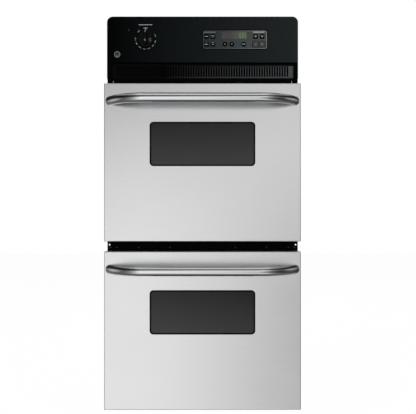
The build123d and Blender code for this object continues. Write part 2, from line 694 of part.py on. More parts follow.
with BuildPart() as oven_liners:
    for oven in DOOR_BOTTOMS:
        oven_mouth(oven, SHEET, CAVITY_BACK_Y + SHEET, CAVITY_DEPTH + SHEET)
        oven_mouth(oven, LINER_FLANGE, FRONT_Y + SHEET, SHEET)
        oven_mouth(oven, 0, CAVITY_BACK_Y, CAVITY_DEPTH, mode=Mode.SUBTRACT)
        for side in (-1, 1):
            wall = side * CAVITY_WIDTH / 2
            lip = wall - side * GUIDE_REACH
            for level in range(GUIDE_COUNT):
                ledge = FLOORS[oven] + GUIDE_FIRST + level * GUIDE_PITCH
                with BuildSketch(front_plane(CAVITY_BACK_Y - GUIDE_REACH)) as guide:
                    with BuildLine():
                        Polyline(
                            (wall, ledge),
                            (lip, ledge),
                            (lip, ledge - GUIDE_LIP),
                            (wall, ledge - GUIDE_HEIGHT),
                            close=True,
                        )
                    make_face()
                extrude(amount=GUIDE_LENGTH)
        back_wall_holes(oven, CAVITY_BACK_Y, CAVITY_BACK_Y + SHEET, 0)
save(oven_liners, "oven_liners")

with BuildPart() as insulation_blankets:
    for oven in DOOR_BOTTOMS:
        blanket_depth = CAVITY_DEPTH + SHEET + BLANKET - BLANKET_SETBACK
        oven_mouth(oven, SHEET + BLANKET, CAVITY_BACK_Y + SHEET + BLANKET, blanket_depth)
        liner_room = SHEET + SEAT_GAP
        oven_mouth(oven, liner_room, CAVITY_BACK_Y + liner_room, CAVITY_DEPTH, mode=Mode.SUBTRACT)
        back_wall_holes(oven, CAVITY_BACK_Y, CAVITY_BACK_Y + SHEET + BLANKET, BLANKET_HOLE_GAP)
save(insulation_blankets, "insulation_blankets")

with BuildPart() as door_gaskets:
    for oven in DOOR_BOTTOMS:
        gasket_depth = GASKET_GAP - SEAT_GAP
        oven_mouth(oven, GASKET_INSET + GASKET_WIDTH, FRAME_FACE_Y, gasket_depth)
        oven_mouth(oven, GASKET_INSET, FRAME_FACE_Y, gasket_depth, mode=Mode.SUBTRACT)
    fillet(door_gaskets.faces().group_by(Axis.Y)[0].edges(), 0.7 * gasket_depth)
save(door_gaskets, "door_gaskets")


# Heating elements: one bent tube each, with a plate on the back wall and short legs
def element_loop(height, terminal_x, shoulder_y, outer_x, front_y, inner_x, inner_y):
    """A symmetric loop of heating tube that lies flat at one height."""
    half = [
        (terminal_x, CAVITY_BACK_Y + ELEMENT_TAIL),
        (terminal_x, shoulder_y),
        (outer_x, shoulder_y),
        (outer_x, front_y),
        (inner_x, front_y),
        (inner_x, inner_y),
    ]
    other_half = [(-x, y) for x, y in reversed(half)]
    with BuildLine(Plane.XY.offset(height)) as loop:
        FilletPolyline(*half, *other_half, radius=ELEMENT_BEND)
    tube_along(loop.line, ELEMENT_RADIUS)
    plate(
        CAVITY_BACK_Y,
        PLATE_THICKNESS,
        2 * terminal_x + PLATE_HEIGHT,
        height - PLATE_HEIGHT / 2,
        height + PLATE_HEIGHT / 2,
        PLATE_CORNER,
    )


def element_legs(places, z_range):
    """Short strap legs between a heating tube and the oven wall."""
    for x, y in places:
        block(
            (x - ELEMENT_LEG, x + ELEMENT_LEG),
            (y - ELEMENT_LEG_THICKNESS / 2, y + ELEMENT_LEG_THICKNESS / 2),
            z_range,
        )


with BuildPart() as bake_elements:
    for floor in FLOORS.values():
        height = floor + BAKE_ABOVE_FLOOR
        element_loop(
            height,
            BAKE_TERMINAL_X,
            BAKE_SHOULDER_Y,
            BAKE_OUTER_X,
            BAKE_FRONT_Y,
            BAKE_INNER_X,
            BAKE_INNER_Y,
        )
        legs = [(side * BAKE_OUTER_X, y) for side in (-1, 1) for y in BAKE_LEGS_Y]
        element_legs(legs, (floor + SEAT_GAP, height))
save(bake_elements, "bake_elements")

with BuildPart() as broil_elements:
    for roof in ROOFS.values():
        height = roof - BROIL_BELOW_ROOF
        element_loop(
            height,
            BROIL_TERMINAL_X,
            BROIL_SHOULDER_Y,
            BROIL_OUTER_X,
            BROIL_FRONT_Y,
            BROIL_INNER_X,
            BROIL_INNER_Y,
        )
        legs = [(side * BROIL_OUTER_X, y) for side in (-1, 1) for y in BROIL_LEGS_Y]
        element_legs(legs, (height, roof - SEAT_GAP))
save(broil_elements, "broil_elements")

# Lamps and their glass covers, on the back walls
lamp_heights = [roof - LAMP_BELOW_ROOF for roof in ROOFS.values()]
with BuildPart() as oven_lamps:
    for z in lamp_heights:
        socket_front = CAVITY_BACK_Y - SOCKET_REACH
        rod_along_y(LAMP_X, z, socket_front, CAVITY_BACK_Y + BLANKET, SOCKET_RADIUS)
        rod_along_y(LAMP_X, z, CAVITY_BACK_Y - SOCKET_FLANGE, CAVITY_BACK_Y, SOCKET_FLANGE_RADIUS)
        rod_along_y(LAMP_X, z, socket_front - BULB_NECK_LENGTH, socket_front, BULB_NECK_RADIUS)
        with Locations((LAMP_X, CAVITY_BACK_Y - BULB_CENTRE, z)):
            Sphere(BULB_RADIUS)
save(oven_lamps, "oven_lamps")

with BuildPart() as lamp_covers:
    cover_front = CAVITY_BACK_Y - LAMP_COVER_LENGTH
    for z in lamp_heights:
        rod_along_y(LAMP_X, z, cover_front, CAVITY_BACK_Y, LAMP_COVER_RADIUS)
    fillet(lamp_covers.faces().group_by(Axis.Y)[0].edges(), LAMP_COVER_ROUNDING)
    for z in lamp_heights:
        for front, bore in (
            (cover_front + LAMP_COVER_END_WALL, LAMP_COVER_END_BORE),
            (cover_front + LAMP_COVER_ROUNDING, LAMP_COVER_RADIUS - LAMP_COVER_WALL),
        ):
            rod_along_y(LAMP_X, z, front, CAVITY_BACK_Y, bore, mode=Mode.SUBTRACT)
save(lamp_covers, "lamp_covers")

with BuildPart() as temperature_probe:
    probe_z = ROOFS["upper"] - PROBE_BELOW_ROOF
    rod_along_y(PROBE_X, probe_z, CAVITY_BACK_Y - PROBE_LENGTH, CAVITY_BACK_Y + ELEMENT_TAIL, PROBE_RADIUS)
    fillet(temperature_probe.faces().sort_by(Axis.Y)[0].edges(), PROBE_RADIUS / 2)
    plate(
        CAVITY_BACK_Y,
        PLATE_THICKNESS,
        PROBE_PLATE_WIDTH,
        probe_z - PROBE_PLATE_HEIGHT / 2,
        probe_z + PROBE_PLATE_HEIGHT / 2,
        PLATE_CORNER,
        x=PROBE_X,
    )
save(temperature_probe, "temperature_probe")


# The racks: a bent rim, front-to-back wires and two cross wires under them
def rack(oven, level):
    """One wire rack on a guide level of an oven."""
    rim_x = CAVITY_WIDTH / 2 - RACK_SIDE_GAP - RACK_WIRE
    front = FRONT_Y + RACK_SETBACK + RACK_WIRE
    back = front + RACK_DEPTH - 2 * RACK_WIRE
    height = FLOORS[oven] + GUIDE_FIRST + level * GUIDE_PITCH + SEAT_GAP + RACK_WIRE
    with BuildPart() as built:
        with BuildLine(Plane.XY.offset(height)) as rim:
            FilletPolyline(
                (rim_x, front),
                (rim_x, back),
                (-rim_x, back),
                (-rim_x, front),
                radius=RACK_CORNER,
                close=True,
            )
        tube_along(rim.line, RACK_WIRE)
        pitch = 2 * rim_x / (RACK_WIRE_COUNT + 1)
        for wire in range(RACK_WIRE_COUNT):
            rod_along_y((wire + 1) * pitch - rim_x, height, front, back, RACK_CROSS_WIRE)
        for brace in RACK_BRACES:
            rod_along_x(front + brace, height - RACK_CROSS_WIRE / 2, -rim_x, rim_x, RACK_CROSS_WIRE)
    return built


for oven in DOOR_BOTTOMS:
    for level_name, level in RACK_LEVELS.items():
        save(rack(oven, level), f"{oven}_rack_{level_name}")


# Doors
def hinge_notches(bottom, y_range):
    """Cuts the gaps at a door's bottom edge that its hinge arms swing through."""
    for side in (-1, 1):
        block(
            (side * HINGE_X - NOTCH_WIDTH / 2, side * HINGE_X + NOTCH_WIDTH / 2),
            y_range,
            (bottom, bottom + PIVOT_ABOVE_BOTTOM + ARM_HEIGHT / 2 + NOTCH_GAP),
            mode=Mode.SUBTRACT,
        )


def window(bottom, margin, back, depth, mode=Mode.ADD):
    """A rounded plate the size of a door's window plus a margin all round."""
    top = bottom + DOOR_HEIGHT - WINDOW_BELOW_TOP
    plate(
        back,
        depth,
        WINDOW_WIDTH + 2 * margin,
        top - WINDOW_HEIGHT - margin,
        top + margin,
        WINDOW_CORNER + margin,
        mode=mode,
    )


def door_skin(bottom):
    """The stainless front pan of a door, folded back along all four edges."""
    top = bottom + DOOR_HEIGHT
    skin_back = DOOR_FACE_Y + DOOR_RETURN
    with BuildPart() as built:
        plate(skin_back, DOOR_RETURN, DOOR_WIDTH, bottom, top)
        fillet(built.faces().sort_by(Axis.Y)[0].edges(), DOOR_EDGE)
        plate(
            skin_back,
            DOOR_RETURN - SHEET,
            DOOR_WIDTH - 2 * SHEET,
            bottom + SHEET,
            top - SHEET,
            DOOR_EDGE - SHEET,
            mode=Mode.SUBTRACT,
        )
        window(bottom, 0, DOOR_FACE_Y + SHEET, SHEET, mode=Mode.SUBTRACT)
        hinge_notches(bottom, (PIVOT_Y - ARM_HEIGHT / 2 - NOTCH_GAP, skin_back))
        for side in (-1, 1):
            rod_along_y(
                side * HANDLE_FOOT_X,
                top - HANDLE_BELOW_TOP,
                DOOR_FACE_Y,
                DOOR_FACE_Y + SHEET,
                STUD_RADIUS + STUD_CLEARANCE,
                mode=Mode.SUBTRACT,
            )
    return built


def door_liner(oven, bottom):
    """The enamelled inner pan of a door, with a raised middle and the inner window."""
    top = bottom + DOOR_HEIGHT
    inset = SHEET + DOOR_FIT
    width = DOOR_WIDTH - 2 * inset
    with BuildPart() as built:
        plate(DOOR_BACK_Y, DOOR_LINER_DEPTH, width, bottom + inset, top - inset, DOOR_LINER_CORNER)
        oven_mouth(oven, -RAISE_MARGIN, DOOR_BACK_Y + LINER_RAISE, LINER_RAISE)
        plate(
            DOOR_BACK_Y - SHEET,
            DOOR_LINER_DEPTH,
            width - 2 * SHEET,
            bottom + inset + SHEET,
            top - inset - SHEET,
            DOOR_LINER_CORNER - SHEET,
            mode=Mode.SUBTRACT,
        )
        oven_mouth(
            oven, -RAISE_MARGIN - SHEET, DOOR_BACK_Y + LINER_RAISE - SHEET, LINER_RAISE, mode=Mode.SUBTRACT
        )
        window(bottom, INNER_WINDOW_MARGIN, DOOR_BACK_Y + LINER_RAISE, SHEET, mode=Mode.SUBTRACT)
        hinge_notches(bottom, (DOOR_BACK_Y - DOOR_LINER_DEPTH, DOOR_BACK_Y))
        if oven == "upper":
            plate(
                DOOR_BACK_Y,
                SHEET,
                LATCH_WIDTH + LATCH_TRAVEL + 6 * LATCH_GAP,
                LATCH_HEIGHT - 2 * LATCH_THICKNESS,
                LATCH_HEIGHT + 2 * LATCH_THICKNESS,
                x=LATCH_TRAVEL / 2,
                mode=Mode.SUBTRACT,
            )
    return built


def door_insulation(bottom):
    """The soft filling between a door's skin and liner, around the windows."""
    with BuildPart() as built:
        plate(
            DOOR_BACK_Y - SHEET - SEAT_GAP,
            DOOR_THICKNESS - 2 * SHEET - 2 * SEAT_GAP,
            DOOR_FILLING_WIDTH,
            bottom + DOOR_FILLING_BELOW,
            bottom + DOOR_HEIGHT - DOOR_FILLING_ABOVE,
            DOOR_FILLING_CORNER,
        )
        glass_margin = GLASS_LAP + INNER_WINDOW_MARGIN + DOOR_FILLING_GAP
        window(bottom, glass_margin, DOOR_BACK_Y, DOOR_THICKNESS, mode=Mode.SUBTRACT)
    return built


def door_handle(bottom):
    """The bowed bar that meets the door at both ends, with a stud in each foot."""
    height = bottom + DOOR_HEIGHT - HANDLE_BELOW_TOP
    bar_y = DOOR_FACE_Y - HANDLE_STANDOFF
    overrun = HANDLE_BAR_DEPTH
    slope = (HANDLE_FOOT_X - HANDLE_BEND_X) / HANDLE_STANDOFF
    end_x = HANDLE_FOOT_X + overrun * slope
    end_y = DOOR_FACE_Y + overrun
    with BuildPart() as built:
        with BuildLine(Plane.XY.offset(height)) as bow:
            FilletPolyline(
                (-end_x, end_y),
                (-HANDLE_BEND_X, bar_y),
                (HANDLE_BEND_X, bar_y),
                (end_x, end_y),
                radius=HANDLE_BEND_RADIUS,
            )
        with BuildSketch(Plane(bow.line @ 0, x_dir=(0, 0, 1), z_dir=bow.line % 0)):
            Ellipse(HANDLE_BAR_HEIGHT / 2, HANDLE_BAR_DEPTH / 2)
        sweep(path=bow.line)
        block(
            (-DOOR_WIDTH, DOOR_WIDTH),
            (DOOR_FACE_Y, DOOR_FACE_Y + 3 * overrun),
            (bottom, bottom + DOOR_HEIGHT),
            mode=Mode.SUBTRACT,
        )
        for side in (-1, 1):
            stud_front = DOOR_FACE_Y - STUD_RADIUS
            stud_back = DOOR_FACE_Y + STUD_LENGTH
            rod_along_y(side * HANDLE_FOOT_X, height, stud_front, stud_back, STUD_RADIUS)
    return built


def hinge_channels(bottom):
    """The two U-shaped channels inside a door that turn on the hinge pins."""
    pivot = bottom + PIVOT_ABOVE_BOTTOM
    inner = CHANNEL_HALF
    channel_back = DOOR_BACK_Y - SHEET - SEAT_GAP
    channel_front = DOOR_FACE_Y + SHEET + CHANNEL_FRONT_GAP
    floor = pivot - 2 * PIN_RADIUS
    with BuildPart() as built:
        for side in (-1, 1):
            x = side * HINGE_X
            block(
                (x - inner - CHANNEL_WALL, x + inner + CHANNEL_WALL),
                (channel_front, channel_back),
                (floor, pivot + CHANNEL_RISE),
            )
            block(
                (x - inner, x + inner),
                (channel_front + CHANNEL_WALL, channel_back),
                (floor, pivot + CHANNEL_RISE),
                mode=Mode.SUBTRACT,
            )
            rod_along_x(
                PIVOT_Y,
                pivot,
                x - inner - CHANNEL_WALL,
                x + inner + CHANNEL_WALL,
                PIN_RADIUS + PIN_CLEARANCE,
                mode=Mode.SUBTRACT,
            )
    return built


def hinge_springs(bottom):
    """The two closed-coil springs inside a door's hinge channels."""
    start = bottom + PIVOT_ABOVE_BOTTOM + SPRING_ABOVE_PIVOT
    with BuildPart() as built:
        with BuildSketch(Plane.XY.offset(start)):
            with Locations((-HINGE_X, PIVOT_Y), (HINGE_X, PIVOT_Y)):
                Circle(SPRING_RADIUS)
        extrude(amount=SPRING_LENGTH)
    return built


for oven, bottom in DOOR_BOTTOMS.items():
    save(door_skin(bottom), f"{oven}_door_skin")
    save(door_liner(oven, bottom), f"{oven}_door_liner")
    save(door_insulation(bottom), f"{oven}_door_insulation")
    save(door_handle(bottom), f"{oven}_handle")
    save(hinge_channels(bottom), f"{oven}_hinge_channels")
    save(hinge_springs(bottom), f"{oven}_hinge_springs")
    with BuildPart() as door_glass:
        window(bottom, GLASS_LAP, DOOR_FACE_Y + SHEET + GLASS, GLASS)
    save(door_glass, f"{oven}_door_glass")
    with BuildPart() as inner_glass:
        inner_lap = GLASS_LAP + INNER_WINDOW_MARGIN
        window(bottom, inner_lap, DOOR_BACK_Y + LINER_RAISE - SHEET, GLASS)
    save(inner_glass, f"{oven}_inner_glass")

# Hinge arms, fixed to the back of the front frame, and the pins in them
with BuildPart() as hinge_arms:
    for bottom in DOOR_BOTTOMS.values():
        pivot = bottom + PIVOT_ABOVE_BOTTOM
        for side in (-1, 1):
            x = side * HINGE_X
            half = ARM_THICKNESS / 2
            rod_along_x(PIVOT_Y, pivot, x - half, x + half, ARM_HEIGHT / 2)
            block(
                (x - half, x + half),
                (PIVOT_Y, FRONT_Y + FOOT_THICKNESS),
                (pivot - ARM_HEIGHT / 2, pivot + ARM_HEIGHT / 2),
            )
            foot_bottom = max(pivot - FOOT_HEIGHT / 2, 2 * PAN_SHEET)
            foot_top = pivot + FOOT_HEIGHT / 2
            plate(FRONT_Y + FOOT_THICKNESS, FOOT_THICKNESS, FOOT_WIDTH, foot_bottom, foot_top, x=x)
            rod_along_x(PIVOT_Y, pivot, x - half, x + half, PIN_RADIUS, mode=Mode.SUBTRACT)
save(hinge_arms, "hinge_arms")

with BuildPart() as hinge_pins:
    for bottom in DOOR_BOTTOMS.values():
        for side in (-1, 1):
            x = side * HINGE_X
            pivot = bottom + PIVOT_ABOVE_BOTTOM
            rod_along_x(PIVOT_Y, pivot, x - PIN_LENGTH / 2, x + PIN_LENGTH / 2, PIN_RADIUS)
save(hinge_pins, "hinge_pins")

# Control fascia: a black moulding with a recessed vent under the controls
with BuildPart() as control_panel:
    half_width = FASCIA_WIDTH / 2
    with BuildSketch(front_plane(FRAME_FACE_Y)) as fascia_outline:
        with BuildLine():
            Polyline(
                (-half_width + FASCIA_TAPER_WIDTH, FASCIA_BOTTOM),
                (half_width - FASCIA_TAPER_WIDTH, FASCIA_BOTTOM),
                (half_width, FASCIA_BOTTOM + FASCIA_TAPER_HEIGHT),
                (half_width, FASCIA_TOP),
                (-half_width, FASCIA_TOP),
                (-half_width, FASCIA_BOTTOM + FASCIA_TAPER_HEIGHT),
                close=True,
            )
        make_face()
        fillet(fascia_outline.vertices().group_by(Axis.Y)[-1], FRAME_CORNER)
    extrude(amount=FASCIA_DEPTH)
    fillet(control_panel.faces().sort_by(Axis.Y)[0].edges(), FASCIA_EDGE)
    inner_width = FASCIA_WIDTH - 2 * FASCIA_TAPER_WIDTH - 2 * FASCIA_WALL
    plate(
        FRAME_FACE_Y,
        FASCIA_DEPTH - FASCIA_WALL,
        inner_width,
        VENT_TOP + FASCIA_WALL,
        FASCIA_TOP - FASCIA_WALL,
        FRAME_CORNER - FASCIA_WALL,
        mode=Mode.SUBTRACT,
    )
    plate(
        FRAME_FACE_Y,
        FASCIA_DEPTH - FASCIA_WALL - VENT_RECESS,
        inner_width,
        FASCIA_BOTTOM + FASCIA_WALL,
        VENT_TOP + FRAME_CORNER,
        mode=Mode.SUBTRACT,
    )
    plate(
        FASCIA_FACE_Y + VENT_RECESS,
        VENT_RECESS,
        VENT_WIDTH,
        VENT_BOTTOM,
        VENT_TOP,
        VENT_CORNER,
        mode=Mode.SUBTRACT,
    )
    plate(
        FRAME_FACE_Y,
        FASCIA_DEPTH,
        GRILLE_SLOT_PITCH * GRILLE_SLOT_COUNT,
        GRILLE_CENTRE_HEIGHT - GRILLE_SLOT_HEIGHT / 2,
        GRILLE_CENTRE_HEIGHT + GRILLE_SLOT_HEIGHT / 2,
        mode=Mode.SUBTRACT,
    )
    plate(
        FRAME_FACE_Y,
        FASCIA_DEPTH,
        BEZEL_WIDTH + 2 * BEZEL_GAP,
        BEZEL_HEIGHT - BEZEL_TALL / 2 - BEZEL_GAP,
        BEZEL_HEIGHT + BEZEL_TALL / 2 + BEZEL_GAP,
        BEZEL_CORNER + BEZEL_GAP,
        x=BEZEL_X,
        mode=Mode.SUBTRACT,
    )
    rod_along_y(DIAL_X, DIAL_HEIGHT, FASCIA_FACE_Y, FRAME_FACE_Y, 2 * SHAFT_RADIUS, mode=Mode.SUBTRACT)
    boss_x = BEZEL_WIDTH / 2 + BEZEL_LAP + BOSS_RADIUS + BOSS_GAP
    for x in (BEZEL_X - boss_x, BEZEL_X + boss_x):
        for z in (BEZEL_HEIGHT - BEZEL_TALL / 3, BEZEL_HEIGHT + BEZEL_TALL / 3):
            rod_along_y(x, z, FASCIA_INNER_Y, BOARD_FACE_Y, BOSS_RADIUS)
save(control_panel, "control_panel")

with BuildPart() as vent_grille:
    grille_bottom = GRILLE_CENTRE_HEIGHT - GRILLE_HEIGHT / 2
    grille_top = GRILLE_CENTRE_HEIGHT + GRILLE_HEIGHT / 2
    grille_back = FASCIA_FACE_Y + VENT_RECESS
    grille_width = VENT_WIDTH - 2 * SEAT_GAP
    plate(grille_back, GRILLE_THICKNESS, grille_width, grille_bottom + SEAT_GAP, grille_top, VENT_CORNER)
    with BuildSketch(front_plane(grille_back)):
        with Locations((0, GRILLE_CENTRE_HEIGHT)):
            with GridLocations(GRILLE_SLOT_PITCH, 1, GRILLE_SLOT_COUNT, 1):
                Rectangle(GRILLE_SLOT_WIDTH, GRILLE_SLOT_HEIGHT)
    extrude(amount=GRILLE_THICKNESS, mode=Mode.SUBTRACT)
save(vent_grille, "vent_grille")

# Key pad: a sunk bezel with the display lens and eleven keys in it, and the board behind
with BuildPart() as key_bezel:
    bezel_bottom = BEZEL_HEIGHT - BEZEL_TALL / 2
    bezel_top = BEZEL_HEIGHT + BEZEL_TALL / 2
    bezel_depth = BEZEL_BACK_Y - BEZEL_FACE_Y
    plate(BEZEL_BACK_Y, bezel_depth, BEZEL_WIDTH, bezel_bottom, bezel_top, BEZEL_CORNER, x=BEZEL_X)
    plate(
        BEZEL_BACK_Y,
        BEZEL_FLANGE,
        BEZEL_WIDTH + 2 * BEZEL_LAP,
        bezel_bottom - BEZEL_LAP,
        bezel_top + BEZEL_LAP,
        BEZEL_CORNER,
        x=BEZEL_X,
    )
    plate(
        BEZEL_BACK_Y,
        bezel_depth,
        DISPLAY_WIDTH + 2 * DISPLAY_GAP,
        DISPLAY_HEIGHT - DISPLAY_TALL / 2 - DISPLAY_GAP,
        DISPLAY_HEIGHT + DISPLAY_TALL / 2 + DISPLAY_GAP,
        x=DISPLAY_X,
        mode=Mode.SUBTRACT,
    )
    with BuildSketch(front_plane(BEZEL_BACK_Y)):
        with Locations(*SQUARE_KEYS.values()):
            RectangleRounded(KEY_SIZE + 2 * KEY_GAP, KEY_SIZE + 2 * KEY_GAP, KEY_CORNER + KEY_GAP)
        with Locations(*ROUND_KEYS.values()):
            Circle(KEY_ROUND_RADIUS + KEY_GAP)
    extrude(amount=bezel_depth, mode=Mode.SUBTRACT)
save(key_bezel, "key_bezel")

with BuildPart() as display_lens:
    lens_bottom = DISPLAY_HEIGHT - DISPLAY_TALL / 2
    lens_top = DISPLAY_HEIGHT + DISPLAY_TALL / 2
    plate(BEZEL_BACK_Y, bezel_depth - SEAT_GAP, DISPLAY_WIDTH, lens_bottom, lens_top, x=DISPLAY_X)
    plate(
        BEZEL_BACK_Y + BEZEL_FLANGE,
        BEZEL_FLANGE,
        DISPLAY_WIDTH + 2 * DISPLAY_LAP,
        lens_bottom - DISPLAY_LAP,
        lens_top + DISPLAY_LAP,
        x=DISPLAY_X,
    )
save(display_lens, "display_lens")


def key_cap(x, z, is_round):
    """One key: a cap through the bezel, with a flange behind it that keeps it in."""
    with BuildPart() as built:
        for grow, front, back in (
            (0.0, BEZEL_FACE_Y - KEY_PROUD, KEY_BACK_Y),
            (KEY_LAP, BEZEL_BACK_Y + SEAT_GAP, KEY_BACK_Y),
        ):
            with BuildSketch(front_plane(back)):
                with Locations((x, z)):
                    if is_round:
                        Circle(KEY_ROUND_RADIUS + grow)
                    else:
                        RectangleRounded(KEY_SIZE + 2 * grow, KEY_SIZE + 2 * grow, KEY_CORNER)
            extrude(amount=back - front)
        fillet(built.faces().sort_by(Axis.Y)[0].edges(), KEY_PROUD / 2)
    return built


for name, place in SQUARE_KEYS.items():
    save(key_cap(*place, False), name)
for name, place in ROUND_KEYS.items():
    save(key_cap(*place, True), name)

with BuildPart() as control_board:
    board_half = boss_x + BOSS_RADIUS
    board_bottom = bezel_bottom - BOARD_MARGIN
    board_top = bezel_top + BOARD_MARGIN
    plate(BOARD_FACE_Y + BOARD, BOARD, 2 * board_half, board_bottom, board_top, x=BEZEL_X)
    for x, z in (*SQUARE_KEYS.values(), *ROUND_KEYS.values()):
        rod_along_y(x, z, KEY_BACK_Y + KEY_TRAVEL + SEAT_GAP, BOARD_FACE_Y, SWITCH_RADIUS)
    display_front = BEZEL_BACK_Y + BEZEL_FLANGE + SEAT_GAP
    plate(
        BOARD_FACE_Y,
        BOARD_FACE_Y - display_front,
        DISPLAY_WIDTH - 2 * DISPLAY_MODULE_MARGIN,
        lens_bottom + DISPLAY_MODULE_MARGIN,
        lens_top - DISPLAY_MODULE_MARGIN,
        x=DISPLAY_X,
    )
    relay_bottom = BEZEL_HEIGHT - RELAY_TALL / 2
    relay_back = BOARD_FACE_Y + BOARD + RELAY_DEPTH
    for relay in range(RELAY_COUNT):
        relay_x = BEZEL_X + (relay - (RELAY_COUNT - 1) / 2) * RELAY_PITCH
        plate(relay_back, RELAY_DEPTH, RELAY_WIDTH, relay_bottom, relay_bottom + RELAY_TALL, x=relay_x)
save(control_board, "control_board")

# Dial: a thermostat behind the fascia, its flatted shaft and the knob
shaft_front = FASCIA_FACE_Y - SKIRT_GAP - GRIP_DEPTH
thermostat_front = FASCIA_INNER_Y + SEAT_GAP
shaft_back = thermostat_front + SHAFT_IN_THERMOSTAT


def d_section(radius):
    """A round shaft's outline with one flat, which faces up."""
    with Locations((DIAL_X, DIAL_HEIGHT)):
        Circle(radius)
    with Locations((DIAL_X, DIAL_HEIGHT + 2 * radius - SHAFT_FLAT)):
        Rectangle(2 * radius, 2 * radius, mode=Mode.SUBTRACT)


with BuildPart() as dial_shaft:
    rod_along_y(DIAL_X, DIAL_HEIGHT, FASCIA_FACE_Y, shaft_back, SHAFT_RADIUS)
    with BuildSketch(front_plane(FASCIA_FACE_Y)):
        d_section(SHAFT_RADIUS)
    extrude(amount=FASCIA_FACE_Y - shaft_front)
save(dial_shaft, "dial_shaft")

with BuildPart() as dial_knob:
    skirt_back = FASCIA_FACE_Y - SKIRT_GAP
    rod_along_y(DIAL_X, DIAL_HEIGHT, skirt_back - SKIRT_THICKNESS, skirt_back, SKIRT_RADIUS)
    fillet(dial_knob.faces().sort_by(Axis.Y)[0].edges(), SKIRT_THICKNESS / 2)
    with BuildSketch(front_plane(skirt_back - SKIRT_THICKNESS / 2)):
        with Locations((DIAL_X, DIAL_HEIGHT)):
            SlotOverall(GRIP_LENGTH, GRIP_WIDTH, rotation=90)
    extrude(amount=GRIP_DEPTH, taper=GRIP_TAPER)
    fillet(dial_knob.faces().sort_by(Axis.Y)[0].edges(), GRIP_EDGE)
    with BuildSketch(front_plane(skirt_back)):
        d_section(SHAFT_RADIUS + SHAFT_CLEARANCE)
    extrude(amount=skirt_back - shaft_front + SEAT_GAP, mode=Mode.SUBTRACT)
save(dial_knob, "dial_knob")

with BuildPart() as thermostat:
    thermostat_back = thermostat_front + THERMOSTAT_DEPTH
    half = THERMOSTAT_WIDTH / 2
    plate(
        thermostat_back,
        THERMOSTAT_DEPTH,
        THERMOSTAT_WIDTH,
        DIAL_HEIGHT - half,
        DIAL_HEIGHT + half,
        THERMOSTAT_CORNER,
        x=DIAL_X,
    )
    rod_along_y(
        DIAL_X,
        DIAL_HEIGHT,
        thermostat_front,
        shaft_back + SEAT_GAP,
        SHAFT_RADIUS + SHAFT_CLEARANCE,
        mode=Mode.SUBTRACT,
    )
    bulb_z = ROOFS["lower"] - BULB_BELOW_ROOF
    capillary_z = DIAL_HEIGHT + half / 2
    with BuildLine(side_plane(DIAL_X)) as capillary:
        FilletPolyline(
            (thermostat_back, capillary_z),
            (CAPILLARY_BACK_Y, capillary_z),
            (CAPILLARY_BACK_Y, bulb_z),
            (CAVITY_BACK_Y, bulb_z),
            radius=CAPILLARY_BEND,
        )
    tube_along(capillary.line, CAPILLARY_RADIUS)
    rod_along_y(DIAL_X, bulb_z, CAVITY_BACK_Y - BULB_ROD_LENGTH, CAVITY_BACK_Y + SHEET, BULB_ROD_RADIUS)
    rod_along_y(DIAL_X, bulb_z, CAVITY_BACK_Y - PLATE_THICKNESS, CAVITY_BACK_Y, BULB_COLLAR_RADIUS)
save(thermostat, "thermostat")

# Blower that draws air over the ovens and out through the grille
blower_half = BLOWER_LENGTH / 2
blower_front = BLOWER_Y - BLOWER_DEPTH / 2
blower_back = BLOWER_Y + BLOWER_DEPTH / 2
blower_top = BODY_HEIGHT - SHEET
with BuildPart() as blower_housing:
    block((-blower_half, blower_half), (blower_front, blower_back), (DUCT_BOTTOM, blower_top))
    block((-blower_half, blower_half), (FRONT_Y + SEAT_GAP, blower_front), (DUCT_BOTTOM, DUCT_TOP))
    hollow = (-blower_half + BLOWER_WALL, blower_half - BLOWER_WALL)
    block(
        hollow,
        (blower_front + BLOWER_WALL, blower_back - BLOWER_WALL),
        (DUCT_BOTTOM + BLOWER_WALL, blower_top - BLOWER_WALL),
        mode=Mode.SUBTRACT,
    )
    block(
        hollow,
        (FRONT_Y, blower_front + BLOWER_WALL),
        (DUCT_BOTTOM + BLOWER_WALL, DUCT_TOP - BLOWER_WALL),
        mode=Mode.SUBTRACT,
    )
    for side in (-1, 1):
        intake = sorted((side * blower_half, side * hollow[1]))
        rod_along_x(BLOWER_Y, BLOWER_AXIS_HEIGHT, *intake, INTAKE_RADIUS, mode=Mode.SUBTRACT)
        for angle in SPOKE_ANGLES:
            reach = INTAKE_RADIUS + SPOKE_OVERRUN
            with BuildSketch(side_plane(intake[0])) as spoke:
                with Locations((BLOWER_Y, BLOWER_AXIS_HEIGHT)):
                    with Locations((reach / 2 * cos(radians(angle)), reach / 2 * sin(radians(angle)))):
                        Rectangle(reach, SPOKE_WIDTH, rotation=angle)
            extrude(amount=BLOWER_WALL)
        rod_along_x(BLOWER_Y, BLOWER_AXIS_HEIGHT, *intake, HUB_RADIUS)
        rod_along_x(
            BLOWER_Y,
            BLOWER_AXIS_HEIGHT,
            *intake,
            BLOWER_SHAFT_RADIUS + SHAFT_CLEARANCE,
            mode=Mode.SUBTRACT,
        )
save(blower_housing, "blower_housing")

